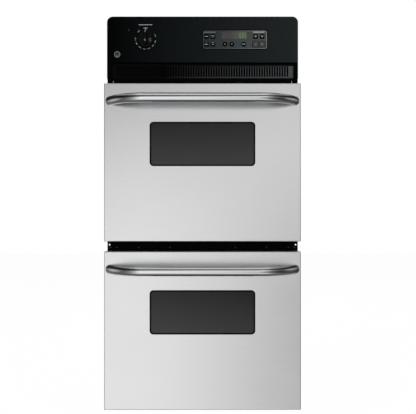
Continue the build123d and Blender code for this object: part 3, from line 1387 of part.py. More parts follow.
with BuildPart() as blower_rotor:
    motor_side = blower_half + MOTOR_LENGTH / 2
    rod_along_x(BLOWER_Y, BLOWER_AXIS_HEIGHT, -blower_half, motor_side, BLOWER_SHAFT_RADIUS)
    for disc_x in (-ROTOR_LENGTH / 2, ROTOR_LENGTH / 2 - ROTOR_DISC):
        rod_along_x(BLOWER_Y, BLOWER_AXIS_HEIGHT, disc_x, disc_x + ROTOR_DISC, ROTOR_RADIUS)
    with BuildSketch(side_plane(-ROTOR_LENGTH / 2)):
        with Locations((BLOWER_Y, BLOWER_AXIS_HEIGHT)):
            with PolarLocations(ROTOR_RADIUS - BLADE_DEPTH / 2 - BLADE_INSET, BLADE_COUNT):
                Rectangle(BLADE_DEPTH, BLADE_THICKNESS, rotation=BLADE_ANGLE)
    extrude(amount=ROTOR_LENGTH)
save(blower_rotor, "blower_rotor")

with BuildPart() as blower_motor:
    rod_along_x(BLOWER_Y, BLOWER_AXIS_HEIGHT, blower_half, blower_half + MOTOR_LENGTH, MOTOR_RADIUS)
    fillet(blower_motor.faces().sort_by(Axis.X)[-1].edges(), MOTOR_EDGE)
    block(
        (blower_half, blower_half + MOTOR_PLATE),
        (BLOWER_Y - MOTOR_PLATE_WIDTH / 2, BLOWER_Y + MOTOR_PLATE_WIDTH / 2),
        (BLOWER_AXIS_HEIGHT - MOTOR_PLATE_HEIGHT / 2, BLOWER_AXIS_HEIGHT + MOTOR_PLATE_HEIGHT / 2),
    )
    rod_along_x(
        BLOWER_Y,
        BLOWER_AXIS_HEIGHT,
        blower_half,
        motor_side + SEAT_GAP,
        BLOWER_SHAFT_RADIUS + SHAFT_CLEARANCE,
        mode=Mode.SUBTRACT,
    )
save(blower_motor, "blower_motor")

# Latch: a sliding bolt behind the frame whose barb hooks behind the door liner
latch_bottom = LATCH_HEIGHT - LATCH_THICKNESS / 2
latch_top = LATCH_HEIGHT + LATCH_THICKNESS / 2
latch_front = FRAME_FACE_Y - LATCH_REACH
with BuildPart() as latch_bolt:
    block(
        (-LATCH_WIDTH / 2, LATCH_WIDTH / 2),
        (latch_front, FRONT_Y + LATCH_DEPTH),
        (latch_bottom, latch_top),
    )
    block(
        (LATCH_WIDTH / 2, LATCH_WIDTH / 2 + LATCH_BARB),
        (latch_front, DOOR_BACK_Y - SHEET - 2 * LATCH_GAP),
        (latch_bottom, latch_top),
    )
save(latch_bolt, "latch_bolt")

with BuildPart() as latch_motor:
    motor_left = -LATCH_WIDTH / 2 - LATCH_GUIDE_MARGIN
    block(
        (motor_left, motor_left + LATCH_MOTOR_WIDTH),
        (FRONT_Y, FRONT_Y + LATCH_MOTOR_DEPTH),
        (latch_top + LATCH_GAP, LATCH_MOTOR_TOP),
    )
save(latch_motor, "latch_motor")
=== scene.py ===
import json
import logging
import math
from collections.abc import Callable, Iterable, Iterator
from contextlib import contextmanager
from dataclasses import dataclass
from enum import Enum

import bmesh
import bpy
from mathutils import Matrix, Vector


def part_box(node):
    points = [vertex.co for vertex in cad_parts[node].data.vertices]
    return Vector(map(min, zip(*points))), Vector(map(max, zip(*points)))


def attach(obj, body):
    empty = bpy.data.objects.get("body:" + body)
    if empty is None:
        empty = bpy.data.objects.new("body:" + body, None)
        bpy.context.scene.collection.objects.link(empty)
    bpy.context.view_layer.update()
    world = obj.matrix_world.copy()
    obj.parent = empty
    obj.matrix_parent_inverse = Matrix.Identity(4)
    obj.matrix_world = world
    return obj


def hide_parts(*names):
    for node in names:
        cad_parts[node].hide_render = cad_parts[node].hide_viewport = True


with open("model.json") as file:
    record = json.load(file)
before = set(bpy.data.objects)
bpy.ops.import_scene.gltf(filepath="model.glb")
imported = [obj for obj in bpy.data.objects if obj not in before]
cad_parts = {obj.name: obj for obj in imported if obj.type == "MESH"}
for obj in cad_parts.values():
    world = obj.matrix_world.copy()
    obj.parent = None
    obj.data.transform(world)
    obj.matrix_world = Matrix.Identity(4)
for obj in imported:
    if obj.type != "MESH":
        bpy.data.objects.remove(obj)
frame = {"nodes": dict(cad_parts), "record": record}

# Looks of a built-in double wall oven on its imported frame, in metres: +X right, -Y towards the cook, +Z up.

log = logging.getLogger("wall_oven")

Colour = tuple[float, float, float]
Place = tuple[float, float, float]
Span = tuple[float, float]
Piece = bpy.types.Object
Socket = bpy.types.NodeSocket
Value = Socket | float

MM = 0.001
QUARTER = math.pi / 2

# The turn of a flat piece that faces the cook
UPRIGHT = (QUARTER, 0.0, 0.0)
# Closer than this counts as the same place
HAIR = 0.01 * MM
# Edges sharper than this stay crisp on a soft or wound piece, in degrees
SOFT_ANGLE = 60.0
# Size of the slow changes of tone across a finish
CLOUD_SIZE = 220 * MM
# Size of the lumps in glass wool
LUMP_SIZE = 45 * MM
# Half the thickness of printed figures, and how far apart they stand
FIGURE_HALF = 0.03 * MM
FIGURE_SPACING = 1.4
# Thickness of all other print
PRINT = 0.06 * MM
# How far a door's glass runs behind its skin
WINDOW_LAP = 10 * MM
# Height of each oven's floor
OVEN_FLOORS = {"lower": 73 * MM, "upper": 589 * MM}
# Numbers of a Mix node's two colours and of their blend, whose names its other sockets share
MIX_COLOURS = (6, 7)
MIX_BLEND = 2


class Marks(Enum):
    """The fine pattern that a finish shows up close."""

    BRUSHED = "long fine lines across the width"
    SPANGLED = "zinc crystals"
    SPECKLED = "pale flecks in enamel"
    PAINTED = "slight orange peel"
    MOULDED = "fine grain of moulded plastic"
    FIBROUS = "matted glass fibres"
    BRAIDED = "crossing strands of a woven rope"
    BLOTCHED = "blotches left by heat"
    DOTTED = "a screen of fine dots"
    INKED = "slightly uneven ink"


class Part(Enum):
    """What is picked in edit mode."""

    CORNERS = "VERT"
    EDGES = "EDGE"
    FACES = "FACE"


class Bench:
    """A node tree, with short calls for adding and joining nodes."""

    def __init__(self, tree: bpy.types.NodeTree) -> None:
        """Take up the tree of a material or of the world."""
        self.tree = tree

    def add(self, kind: str) -> bpy.types.Node:
        """A new shader node of one kind."""
        return self.tree.nodes.new(f"ShaderNode{kind}")

    def feed(self, target: Socket, value: Value | Iterable[float]) -> None:
        """Join a socket to another, or set it to a plain value.

        Args:
            target: The socket that takes the value.
            value: The other socket, or the plain value.
        """
        if isinstance(value, Socket):
            self.tree.links.new(value, target)
        else:
            target.default_value = value

    def step(self, operation: str, first: Value, second: Value = 0.0) -> Socket:
        """One step of arithmetic.

        Args:
            operation: Blender's name of the step.
            first: A socket or a number.
            second: The other one, for a step that takes two.

        Returns:
            The result.
        """
        node = self.add("Math")
        node.operation = operation
        for number, value in enumerate((first, second)):
            self.feed(node.inputs[number], value)
        return node.outputs["Value"]

    def ranged(self, value: Socket, span: Span, target: Span = (0.0, 1.0), smooth: bool = False) -> Socket:
        """A value stretched from one range to another and held inside it.

        Args:
            value: The value.
            span: The range that it comes from.
            target: What the two ends of that range become.
            smooth: Whether it leaves and reaches those ends gently.

        Returns:
            The stretched value.
        """
        node = self.add("MapRange")
        node.interpolation_type = "SMOOTHSTEP" if smooth else "LINEAR"
        for name, number in zip(("From Min", "From Max", "To Min", "To Max"), (*span, *target)):
            node.inputs[name].default_value = number
        self.feed(node.inputs["Value"], value)
        return node.outputs["Result"]

    def banded(self, value: Socket, bands: Iterable[Span]) -> Socket:
        """The tone at a value from 0 to 1, between the bands on both sides of it.

        Args:
            value: The value.
            bands: Each band's place and tone, in order.

        Returns:
            The tone.
        """
        node = self.add("ValToRGB")
        self.feed(node.inputs[0], value)
        places = node.color_ramp.elements
        for number, (position, tone) in enumerate(bands):
            place = places[number] if number < 2 else places.new(1.0)
            place.position = position
            place.color = (tone, tone, tone, 1.0)
        return node.outputs[0]

    def split(self, vector: Socket) -> list[Socket]:
        """The X, Y and Z of a vector.

        Args:
            vector: The vector.

        Returns:
            Its three values.
        """
        node = self.add("SeparateXYZ")
        self.feed(node.inputs[0], vector)
        return list(node.outputs)

    def mixed(self, share: Socket, first: Socket, second: Socket) -> Socket:
        """A shader between two others.

        Args:
            share: How much of the second one shows.
            first: One shader.
            second: The other one.

        Returns:
            The mixed shader.
        """
        node = self.add("MixShader")
        for number, value in enumerate((share, first, second)):
            self.feed(node.inputs[number], value)
        return node.outputs[0]


class FinishBench(Bench):
    """The node tree of a new material, with patterns that lie on the piece's own coordinates."""

    def __init__(self, material: bpy.types.Material) -> None:
        """Open the tree of a new material.

        Args:
            material: The material whose nodes are made.
        """
        material.use_nodes = True
        super().__init__(material.node_tree)
        self.shader = self.tree.nodes["Principled BSDF"]
        self.place = self.add("TexCoord").outputs["Object"]

    def scaled(self, lengths: Place) -> Socket:
        """The place on the piece, counted in lengths.

        Args:
            lengths: What counts as 1 along X, Y and Z.

        Returns:
            The scaled place.
        """
        mapping = self.add("Mapping")
        mapping.inputs["Scale"].default_value = [1.0 / length for length in lengths]
        self.feed(mapping.inputs["Vector"], self.place)
        return mapping.outputs["Vector"]

    def noise(self, lengths: Place, detail: float = 3.0, twist: float = 0.0) -> Socket:
        """Soft random tones.

        Args:
            lengths: Size of one tone along X, Y and Z.
            detail: How many finer layers are added.
            twist: How far the tones are pulled about.

        Returns:
            A value from 0 to 1.
        """
        node = self.add("TexNoise")
        for name, number in (("Scale", 1.0), ("Detail", detail), ("Distortion", twist)):
            node.inputs[name].default_value = number
        self.feed(node.inputs["Vector"], self.scaled(lengths))
        return node.outputs["Fac"]

    def cells(self, length: float, output: str) -> Socket:
        """Random cells of one size.

        Args:
            length: Size of a cell.
            output: "Distance" to the nearest middle, or the "Color" of each cell.

        Returns:
            That output.
        """
        node = self.add("TexVoronoi")
        node.inputs["Scale"].default_value = 1.0
        self.feed(node.inputs["Vector"], self.scaled((length, length, length)))
        return node.outputs[output]

    def blend(self, share: Socket, first: Socket | Colour, second: Socket | Colour) -> Socket:
        """A colour between two others.

        Args:
            share: How much of the second one shows.
            first: One colour.
            second: The other one.

        Returns:
            The blended colour.
        """
        node = self.add("Mix")
        node.data_type = "RGBA"
        self.feed(node.inputs["Factor"], share)
        for number, colour in zip(MIX_COLOURS, (first, second)):
            self.feed(node.inputs[number], colour if isinstance(colour, Socket) else (*colour, 1.0))
        return node.outputs[MIX_BLEND]

    def along(self, axis: int, start: float, end: float) -> Socket:
        """A value that goes from 0 to 1 between two places along an axis."""
        return self.ranged(self.split(self.place)[axis], (start, end))

    def marks(self, kind: Marks, pitch: float) -> Socket:
        """The fine pattern of a finish.

        Args:
            kind: Which pattern.
            pitch: Size of one mark.

        Returns:
            A value from 0 to 1.
        """
        even = (pitch, pitch, pitch)
        if kind is Marks.BRUSHED:
            return self.ranged(self.noise((240 * pitch, pitch, pitch), 4.0), (0.3, 0.7))
        if kind is Marks.SPANGLED:
            tone = self.add("SeparateColor")
            self.feed(tone.inputs[0], self.cells(pitch, "Color"))
            frost = self.ranged(self.noise(even, 5.0), (0.2, 0.7), (0.6, 1.0))
            return self.step("MULTIPLY", tone.outputs[0], frost)
        if kind is Marks.SPECKLED:
            return self.ranged(self.cells(pitch, "Distance"), (0.10, 0.22), (1.0, 0.0))
        if kind is Marks.DOTTED:
            return self.ranged(self.cells(pitch, "Distance"), (0.25, 0.45), (1.0, 0.0))
        if kind is Marks.FIBROUS:
            return self.ranged(self.noise((6 * pitch, 6 * pitch, pitch), 8.0, 2.5), (0.3, 0.7))
        if kind is Marks.BRAIDED:
            return self.braid(pitch)
        if kind is Marks.BLOTCHED:
            return self.ranged(self.noise(even, 6.0, 0.6), (0.35, 0.65))
        return self.ranged(self.noise(even, 2.0), (0.3, 0.7))

    def braid(self, pitch: float) -> Socket:
        """Diamonds where strands cross on any side of a rope.

        Args:
            pitch: Size of one strand.

        Returns:
            A value from 0 to 1.
        """
        x, y, z = self.split(self.scaled((pitch, pitch, pitch)))
        across = self.step("ADD", x, y)
        up = self.step("ADD", z, y)
        waves = [self.step("SINE", self.step(way, across, up)) for way in ("ADD", "SUBTRACT")]
        return self.ranged(self.step("MULTIPLY", *waves), (-0.6, 0.6))


@dataclass(frozen=True)
class Finish:
    """One surface finish, made once as a procedural material.

    Attributes:
        name: Its name, which is also its slot in the record where it has one.
        colour: Main colour.
        accent: Colour of the marks.
        marks: The fine pattern.
        pitch: Size of one mark.
        roughness: Least and most roughness.
        relief: How strongly the marks stand up.
        cloud: Share of the slow change of tone across a piece.
        metallic: How much of it is bare metal.
        specular: How strongly it shines where it is not metal.
        transmission: How much of it is clear.
        glow: Strength of its own light.
    """

    name: str
    colour: Colour
    accent: Colour
    marks: Marks
    pitch: float
    roughness: Span
    relief: float = 0.05
    cloud: float = 0.25
    metallic: float = 0.0
    specular: float = 0.5
    transmission: float = 0.0
    glow: float = 0.0

    def material(self) -> bpy.types.Material:
        """The finish's material, made the first time it is asked for.

        Returns:
            The material.
        """
        name = f"{self.name}_finish"
        made = bpy.data.materials.get(name)
        if made is None:
            made = bpy.data.materials.new(name)
            self.build(FinishBench(made))
        return made

    def build(self, bench: FinishBench) -> None:
        """Set the shader's plain values and join its patterns.

        Args:
            bench: The new material's tree.
        """
        inputs = bench.shader.inputs
        inputs["Metallic"].default_value = self.metallic
        inputs["Specular IOR Level"].default_value = self.specular
        inputs["Transmission Weight"].default_value = self.transmission
        marks = bench.marks(self.marks, self.pitch)
        cloud = bench.noise((CLOUD_SIZE, CLOUD_SIZE, CLOUD_SIZE), 2.0)
        tone = bench.step("ADD", marks, bench.ranged(cloud, (0.3, 0.7), (-self.cloud, self.cloud)))
        colour = self.paint(bench, bench.blend(tone, self.colour, self.accent))
        bench.feed(inputs["Base Color"], colour)
        bench.feed(inputs["Roughness"], bench.ranged(tone, (0.0, 1.0), self.roughness))
        if self.glow:
            bench.feed(inputs["Emission Color"], colour)
            inputs["Emission Strength"].default_value = self.glow
        bump = bench.add("Bump")
        bump.inputs["Strength"].default_value = self.relief
        bump.inputs["Distance"].default_value = self.pitch / 4
        bench.feed(bump.inputs["Height"], marks)
        bench.feed(inputs["Normal"], bump.outputs["Normal"])

    def paint(self, bench: FinishBench, colour: Socket) -> Socket:
        """The colour as it is, for a finish that is one material all over."""
        return colour


@dataclass(frozen=True)
class TwoToneAndPaintedLightFinish(Finish):
    """A finish that passes from one colour to another along an axis: real two-tone on the lamp's glass,
    painted light and shade on the fascia, grille, bezel, display, trim and windows.

    Attributes:
        axis: 0, 1 or 2 for X, Y or Z.
        start: Where the far colour begins to show.
        end: Where only the far colour shows.
        far: The far colour.
        above: Height under which the far colour does not show.
        below: Height over which it does not show.
        before: Depth behind which it does not show.
        height_fade: How far it takes to show at those heights.
        depth_fade: How far it takes to show at that depth.
    """

    axis: int = 0
    start: float = 0.0
    end: float = 1.0
    far: Colour = (1.0, 1.0, 1.0)
    above: float = -1.0
    below: float = 3.0
    before: float = 3.0
    height_fade: float = 1.0 * MM
    depth_fade: float = 0.3 * MM

    def paint(self, bench: FinishBench, colour: Socket) -> Socket:
        """The near colour blended into the far one.

        Args:
            bench: The new material's tree.
            colour: The near colour.

        Returns:
            The blended colour.
        """
        share = bench.along(self.axis, self.start, self.end)
        for axis, limit, fade in (
            (2, self.above, self.height_fade),
            (2, self.below, -self.height_fade),
            (1, self.before, -self.depth_fade),
        ):
            share = bench.step("MULTIPLY", share, bench.along(axis, limit, limit + fade))
        return bench.blend(share, colour, self.far)


def grey(level: float, warmth: float = 0.0) -> Colour:
    """A near neutral colour, warmer than neutral by a share of its level."""
    return (level * (1 + warmth), level, level * (1 - warmth))


def ink(name: str, level: float, accent: float) -> Finish:
    """A grey ink, slightly uneven."""
    return Finish(name, grey(level), grey(accent), Marks.INKED, 0.6 * MM, (0.5, 0.6))


SLOT_FINISHES: dict[str, Finish] = {
    finish.name: finish
    for finish in (
        Finish("stainless", grey(0.74), grey(0.81), Marks.BRUSHED, 0.4 * MM, (0.27, 0.36), 0.03,
               metallic=1.0),
        Finish("handle_steel", grey(0.61, -0.02), grey(0.73, -0.02), Marks.BRUSHED, 0.3 * MM, (0.11, 0.17),
               0.02, metallic=1.0),
        Finish("galvanised", grey(0.46), grey(0.62), Marks.SPANGLED, 9 * MM, (0.30, 0.48), metallic=0.6),
        Finish("bright_steel", grey(0.56, 0.02), grey(0.70), Marks.PAINTED, 0.8 * MM, (0.18, 0.3),
               metallic=1.0),
        Finish("spring_steel", grey(0.20), grey(0.36), Marks.BLOTCHED, 6 * MM, (0.28, 0.45), metallic=1.0),
        Finish("black_enamel", grey(0.0012), grey(0.0025), Marks.PAINTED, 2 * MM, (0.5, 0.6), specular=0.03),
        Finish("oven_enamel", grey(0.030, -0.1), grey(0.22), Marks.SPECKLED, 3.2 * MM, (0.14, 0.24), 0.012,
               cloud=0.05),
        Finish("glass_wool", (0.58, 0.51, 0.33), (0.86, 0.80, 0.60), Marks.FIBROUS, 2.5 * MM, (0.9, 1.0),
               0.8),
        Finish("woven_gasket", grey(0.10), grey(0.36, 0.03), Marks.BRAIDED, 0.9 * MM, (0.75, 0.9), 0.8),
        Finish("element_sheath", grey(0.05, 0.05), grey(0.13, 0.08), Marks.BLOTCHED, 12 * MM, (0.45, 0.65),
               metallic=0.6),
        TwoToneAndPaintedLightFinish("lamp_glass", grey(0.78), grey(0.88), Marks.INKED, 1.5 * MM, (0.15, 0.3), 0.02,
                      axis=1, start=174 * MM, end=175 * MM, far=grey(0.55, 0.03)),
        Finish("clear_glass", (0.90, 0.95, 0.93), (0.95, 0.98, 0.96), Marks.PAINTED, 40 * MM, (0.0, 0.03),
               0.0, transmission=1.0),
        Finish("dark_glass", grey(0.004), grey(0.007), Marks.DOTTED, 1.6 * MM, (0.02, 0.05), 0.0,
               specular=0.25),
        # fascia_black: painted light, lighter towards the right as if lit from there; below 1075.5 mm and
        # behind the face it stays black, painted shade in the vent recess and on the lip under it.
        TwoToneAndPaintedLightFinish("fascia_black", (0.0002, 0.0005, 0.0006), (0.0006, 0.0010, 0.0011), Marks.MOULDED,
                      0.5 * MM, (0.34, 0.44), specular=0.02, axis=0, start=-280 * MM, end=300 * MM,
                      far=(0.0120, 0.0148, 0.0152), above=1075.5 * MM, before=-306 * MM),
        # grille_black: painted light, the slats lighter towards the right; above 1066.5 mm it stays black, a
        # painted shadow of the recess's overhang on the top rail, and behind the front it stays black as
        # painted shade.
        TwoToneAndPaintedLightFinish("grille_black", grey(0.0014), grey(0.0035), Marks.MOULDED, 0.5 * MM, (0.3, 0.4),
                      specular=0.02, axis=0, start=-120 * MM, end=300 * MM, far=grey(0.066, -0.05),
                      below=1066.5 * MM, before=-302.6 * MM),
        Finish("board_green", (0.008, 0.07, 0.025), (0.03, 0.20, 0.07), Marks.BLOTCHED, 5 * MM, (0.3, 0.5)),
        # bezel_grey: painted light, lighter towards the right.
        TwoToneAndPaintedLightFinish("bezel_grey", (0.014, 0.021, 0.024), (0.020, 0.028, 0.031), Marks.MOULDED, 0.4 * MM,
                      (0.32, 0.44), specular=0.05, axis=0, start=20 * MM, end=200 * MM,
                      far=grey(0.060, -0.04)),
        # display_dark: painted glow of the lit digits, the lens greener towards the right.
        TwoToneAndPaintedLightFinish("display_dark", grey(0.042, 0.04), grey(0.058, 0.04), Marks.DOTTED, 0.5 * MM,
                      (0.1, 0.2), 0.0, specular=0.15, axis=0, start=85 * MM, end=125 * MM,
                      far=(0.066, 0.086, 0.054)),
        Finish("key_grey", grey(0.0008), grey(0.002), Marks.MOULDED, 0.4 * MM, (0.36, 0.46), specular=0.04),
        Finish("key_light", grey(0.034), grey(0.046), Marks.MOULDED, 0.4 * MM, (0.36, 0.46), specular=0.1),
        Finish("knob_black", grey(0.0010), grey(0.002), Marks.MOULDED, 0.4 * MM, (0.16, 0.24), specular=0.12),
        Finish("motor_grey", grey(0.10), grey(0.15), Marks.PAINTED, 1.5 * MM, (0.35, 0.5)),
        Finish("rotor_aluminium", grey(0.62), grey(0.76), Marks.BRUSHED, 0.5 * MM, (0.28, 0.4), metallic=1.0),
        Finish("rack_chrome", grey(0.70), grey(0.82), Marks.BLOTCHED, 30 * MM, (0.06, 0.16), 0.01,
               metallic=1.0),
    )
}
PRINT_WHITE = ink("print_white", 0.30, 0.37)
PRINT_PALE = ink("print_pale", 0.20, 0.26)
PRINT_DIM = ink("print_dim", 0.13, 0.18)
PRINT_GREY = ink("print_grey", 0.08, 0.11)
LIT_GREEN = Finish("lit_green", (0.10, 0.14, 0.08), (0.13, 0.18, 0.10), Marks.INKED, 0.5 * MM, (0.4, 0.5),
                   glow=0.05)
# Painted light: the trim round the bezel grows lighter towards the right.
TRIM_PAINTED_LIGHT = TwoToneAndPaintedLightFinish("trim_painted_light", grey(0.05), grey(0.07), Marks.MOULDED, 0.4 * MM, (0.3, 0.4), axis=0,
                           start=60 * MM, end=200 * MM, far=grey(0.22))
SEAL_RUBBER = Finish("seal_rubber", grey(0.0008), grey(0.002), Marks.MOULDED, 0.6 * MM, (0.5, 0.65),
                     specular=0.05)
BADGE_METAL = Finish("badge_metal", grey(0.36), grey(0.50), Marks.BRUSHED, 0.3 * MM, (0.3, 0.4), metallic=1.0)
BADGE_ENAMEL = Finish("badge_enamel", grey(0.022), grey(0.04), Marks.SPECKLED, 1.2 * MM, (0.2, 0.3), 0.02)
LAMP_LENS = Finish("lamp_lens", grey(0.010, 0.1), grey(0.016, 0.1), Marks.MOULDED, 0.5 * MM, (0.1, 0.2))
SCREW_DARK = Finish("screw_dark", grey(0.025), grey(0.05), Marks.PAINTED, 0.5 * MM, (0.3, 0.45))
# Painted shade: the screws' cross recesses are drawn as flat dark crosses in this finish.
PAINTED_RECESS_SHADE = Finish("painted_recess_shade", grey(0.05), grey(0.10), Marks.PAINTED, 0.5 * MM, (0.5, 0.6), metallic=1.0)


def single_out(piece: Piece) -> None:
    """Make one piece the active one, with nothing else selected.

    Args:
        piece: The piece.
    """
    bpy.ops.object.select_all(action="DESELECT")
    bpy.context.view_layer.objects.active = piece
    piece.select_set(True)


@contextmanager
def editing(piece: Piece) -> Iterator[None]:
    """Edit mode on one piece, with all of it picked.

    Args:
        piece: The piece that is edited.

    Yields:
        Nothing; edit mode ends with the block.
    """
    single_out(piece)
    bpy.ops.object.mode_set(mode="EDIT")
    bpy.ops.mesh.select_all(action="SELECT")
    yield
    bpy.ops.object.mode_set(mode="OBJECT")


def pick(piece: Piece, part: Part, test: Callable[[Vector, Vector], bool]) -> None:
    """Select what passes a test in the piece that is being edited.

    Args:
        piece: The piece in edit mode.
        part: Corners, edges or faces.
        test: Takes the middle and the normal of each one.
    """
    bpy.ops.mesh.select_mode(type=part.value)
    bpy.ops.mesh.select_all(action="DESELECT")
    mesh = bmesh.from_edit_mesh(piece.data)
    mesh.normal_update()
    items = {Part.CORNERS: mesh.verts, Part.EDGES: mesh.edges, Part.FACES: mesh.faces}[part]
    for item in items:
        corners = [item] if part is Part.CORNERS else item.verts
        middle = sum((corner.co for corner in corners), Vector()) / len(corners)
        faces = [item] if part is Part.FACES else item.link_faces
        normal = sum((face.normal for face in faces), Vector())
        item.select_set(bool(test(middle, normal.normalized())))
    mesh.select_flush_mode()
    bmesh.update_edit_mesh(piece.data)


def draw_out(move: Place) -> None:
    """Draw new faces out of the picked edges."""
    bpy.ops.mesh.extrude_edges_move(TRANSFORM_OT_translate={"value": move})


def settle(name: str, size: Place = (1.0, 1.0, 1.0)) -> Piece:
    """Name the primitive just added, and put its place, turn and size into its mesh.

    Args:
        name: The piece's name.
        size: How many times larger it becomes along its own axes.

    Returns:
        The piece.
    """
    piece = bpy.context.object
    piece.name = piece.data.name = name
    piece.scale = size
    single_out(piece)
    bpy.ops.object.transform_apply(location=True, rotation=True, scale=True)
    return piece


def add_plate(name: str, middle: Place, width: float, height: float) -> Piece:
    """A flat upright plate that faces the cook.

    Args:
        name: The piece's name.
        middle: The middle of the plate.
        width: Size along X.
        height: Size along Z.

    Returns:
        The new piece.
    """
    bpy.ops.object.select_all(action="DESELECT")
    bpy.ops.mesh.primitive_plane_add(size=1.0, location=middle, rotation=UPRIGHT)
    return settle(name, (width, height, 1.0))


def add_disc(name: str, middle: Place, radius: float, sides: int, filled: bool = True) -> Piece:
    """A flat upright disc that faces the cook.

    Args:
        name: The piece's name.
        middle: The middle of the disc.
        radius: Its radius.
        sides: How many sides it has.
        filled: Whether it has a face, or only a rim.

    Returns:
        The new piece.
    """
    bpy.ops.object.select_all(action="DESELECT")
    fill = "NGON" if filled else "NOTHING"
    bpy.ops.mesh.primitive_circle_add(vertices=sides, radius=radius, fill_type=fill, location=middle,
                                      rotation=UPRIGHT)
    return settle(name)


def add_block(name: str, low: Place, high: Place) -> Piece:
    """A block between two corners.

    Args:
        name: The piece's name.
        low: Its lowest corner.
        high: Its highest corner.

    Returns:
        The new piece.
    """
    bpy.ops.object.select_all(action="DESELECT")
    bpy.ops.mesh.primitive_cube_add(size=1.0, location=[(a + b) / 2 for a, b in zip(low, high)])
    return settle(name, [b - a for a, b in zip(low, high)])


def taper(piece: Piece, middle_z: float, reach: float, share: float) -> None:
    """Narrow one end of an upright plate.

    Args:
        piece: The plate.
        middle_z: Height of its middle.
        reach: Its height, below zero for the lower end.
        share: How much of the end's width is left.
    """
    with editing(piece):
        pick(piece, Part.EDGES, lambda place, normal: (place.z - middle_z) / reach > 0.4)
        bpy.ops.transform.resize(value=(share, 1.0, 1.0))


def add_arrow(name: str, middle: Place, width: float, height: float) -> Piece:
    """A flat upright triangle that faces the cook.

    Args:
        name: The piece's name.
        middle: Halfway between its tip and its base.
        width: Size of its base along X.
        height: Size along Z; below zero it points down.

    Returns:
        The new piece.
    """
    piece = add_plate(name, middle, width, abs(height))
    taper(piece, middle[2], height, share=0.05)
    return piece


def round_corners(piece: Piece, radius: float, steps: int = 6) -> None:
    """Round the corners of a flat plate."""
    with editing(piece):
        bpy.ops.mesh.bevel(offset=radius, offset_type="OFFSET", segments=steps, affect="VERTICES")


def open_middle(piece: Piece, rim: float) -> None:
    """Leave only a rim of a flat plate.

    Args:
        piece: The plate.
        rim: Width of what is left.
    """
    with editing(piece):
        bpy.ops.mesh.inset(thickness=rim, use_even_offset=True)
        bpy.ops.mesh.delete(type="FACE")


def thicken(piece: Piece, depth: float) -> None:
    """Give a flat piece depth towards the cook and turn its faces outwards.

    Args:
        piece: The flat piece.
        depth: How thick it becomes.
    """
    with editing(piece):
        bpy.ops.mesh.extrude_region_move(TRANSFORM_OT_translate={"value": (0.0, -depth, 0.0)})
        bpy.ops.mesh.select_all(action="SELECT")
        bpy.ops.mesh.normals_make_consistent(inside=False)


def soften_front(piece: Piece, width: float, steps: int = 2) -> None:
    """Round the front edges of a thickened piece.

    Args:
        piece: The piece.
        width: How far the rounding reaches from each edge.
        steps: How many steps it has.
    """
    front = min(corner.co.y for corner in piece.data.vertices) + HAIR
    with editing(piece):
        pick(piece, Part.EDGES, lambda middle, normal: middle.y < front and abs(normal.y) < 0.98)
        bpy.ops.mesh.bevel(offset=width, offset_type="OFFSET", segments=steps, affect="EDGES")


def add_button(name: str, middle: Place, radius: float, sides: int, depth: float, soft: float,
               steps: int = 2) -> Piece:
    """A round piece that stands out towards the cook, with a rounded front edge.

    Args:
        name: The piece's name.
        middle: The middle of its back.
        radius: Its radius.
        sides: How many sides it has.
        depth: How far it stands out.
        soft: How far its rounding reaches.
        steps: How many steps the rounding has.

    Returns:
        The new piece.
    """
    piece = add_disc(name, middle, radius, sides)
    thicken(piece, depth)
    soften_front(piece, soft, steps)
    return piece


@dataclass(frozen=True)
class Rim:
    """The section of a frame that runs round an opening.

    Attributes:
        corner: Outer rounding of the frame's corners.
        width: Width of the frame.
        depth: How far it stands out.
        soft: How far the rounding of its front edges reaches, or 0 for crisp edges.
        corner_steps: How many steps the corners have.
        soft_steps: How many steps the front edges have.
    """

    corner: float
    width: float
    depth: float
    soft: float = 0.0
    corner_steps: int = 6
    soft_steps: int = 2

    def add(self, name: str, middle: Place, width: float, height: float) -> Piece:
        """Make the frame.

        Args:
            name: The piece's name.
            middle: The middle of its back.
            width: Outer size along X.
            height: Outer size along Z.

        Returns:
            The new piece.
        """
        piece = add_plate(name, middle, width, height)
        round_corners(piece, self.corner, self.corner_steps)
        open_middle(piece, self.width)
        thicken(piece, self.depth)
        if self.soft:
            soften_front(piece, self.soft, self.soft_steps)
        return piece


def modify(piece: Piece, kind: str, **settings: object) -> None:
    """Add a modifier to a piece and apply it.

    Args:
        piece: The piece.
        kind: Blender's name of the modifier.
        settings: Its values.
    """
    single_out(piece)
    modifier = piece.modifiers.new(kind.lower(), kind)
    for name, value in settings.items():
        setattr(modifier, name, value)
    bpy.ops.object.modifier_apply(modifier=modifier.name)


def puff(piece: Piece, cuts: int, depth: float) -> None:
    """Make a blocky soft piece lumpy, without growing past its faces by more than a depth.

    Args:
        piece: The piece.
        cuts: How often each edge is divided first.
        depth: How far a lump stands out.
    """
    with editing(piece):
        bpy.ops.mesh.subdivide(number_cuts=cuts)
    lumps = bpy.data.textures.get("wool_lumps") or bpy.data.textures.new("wool_lumps", "CLOUDS")
    lumps.noise_scale = LUMP_SIZE
    modify(piece, "SUBSURF", levels=1, render_levels=1, subdivision_type="SIMPLE")
    modify(piece, "DISPLACE", texture=lumps, texture_coords="GLOBAL", strength=2 * depth, mid_level=0.5)
    modify(piece, "SMOOTH", factor=0.5, iterations=2)


def copy_of(piece: Piece, name: str, place: Place) -> Piece:
    """A copy with a mesh of its own.

    Args:
        piece: What is copied.
        name: The copy's name.
        place: How far the copy is moved.

    Returns:
        The copy.
    """
    twin = piece.copy()
    twin.data = piece.data.copy()
    twin.name = twin.data.name = name
    twin.data.transform(Matrix.Translation(place))
    bpy.context.scene.collection.objects.link(twin)
    return twin


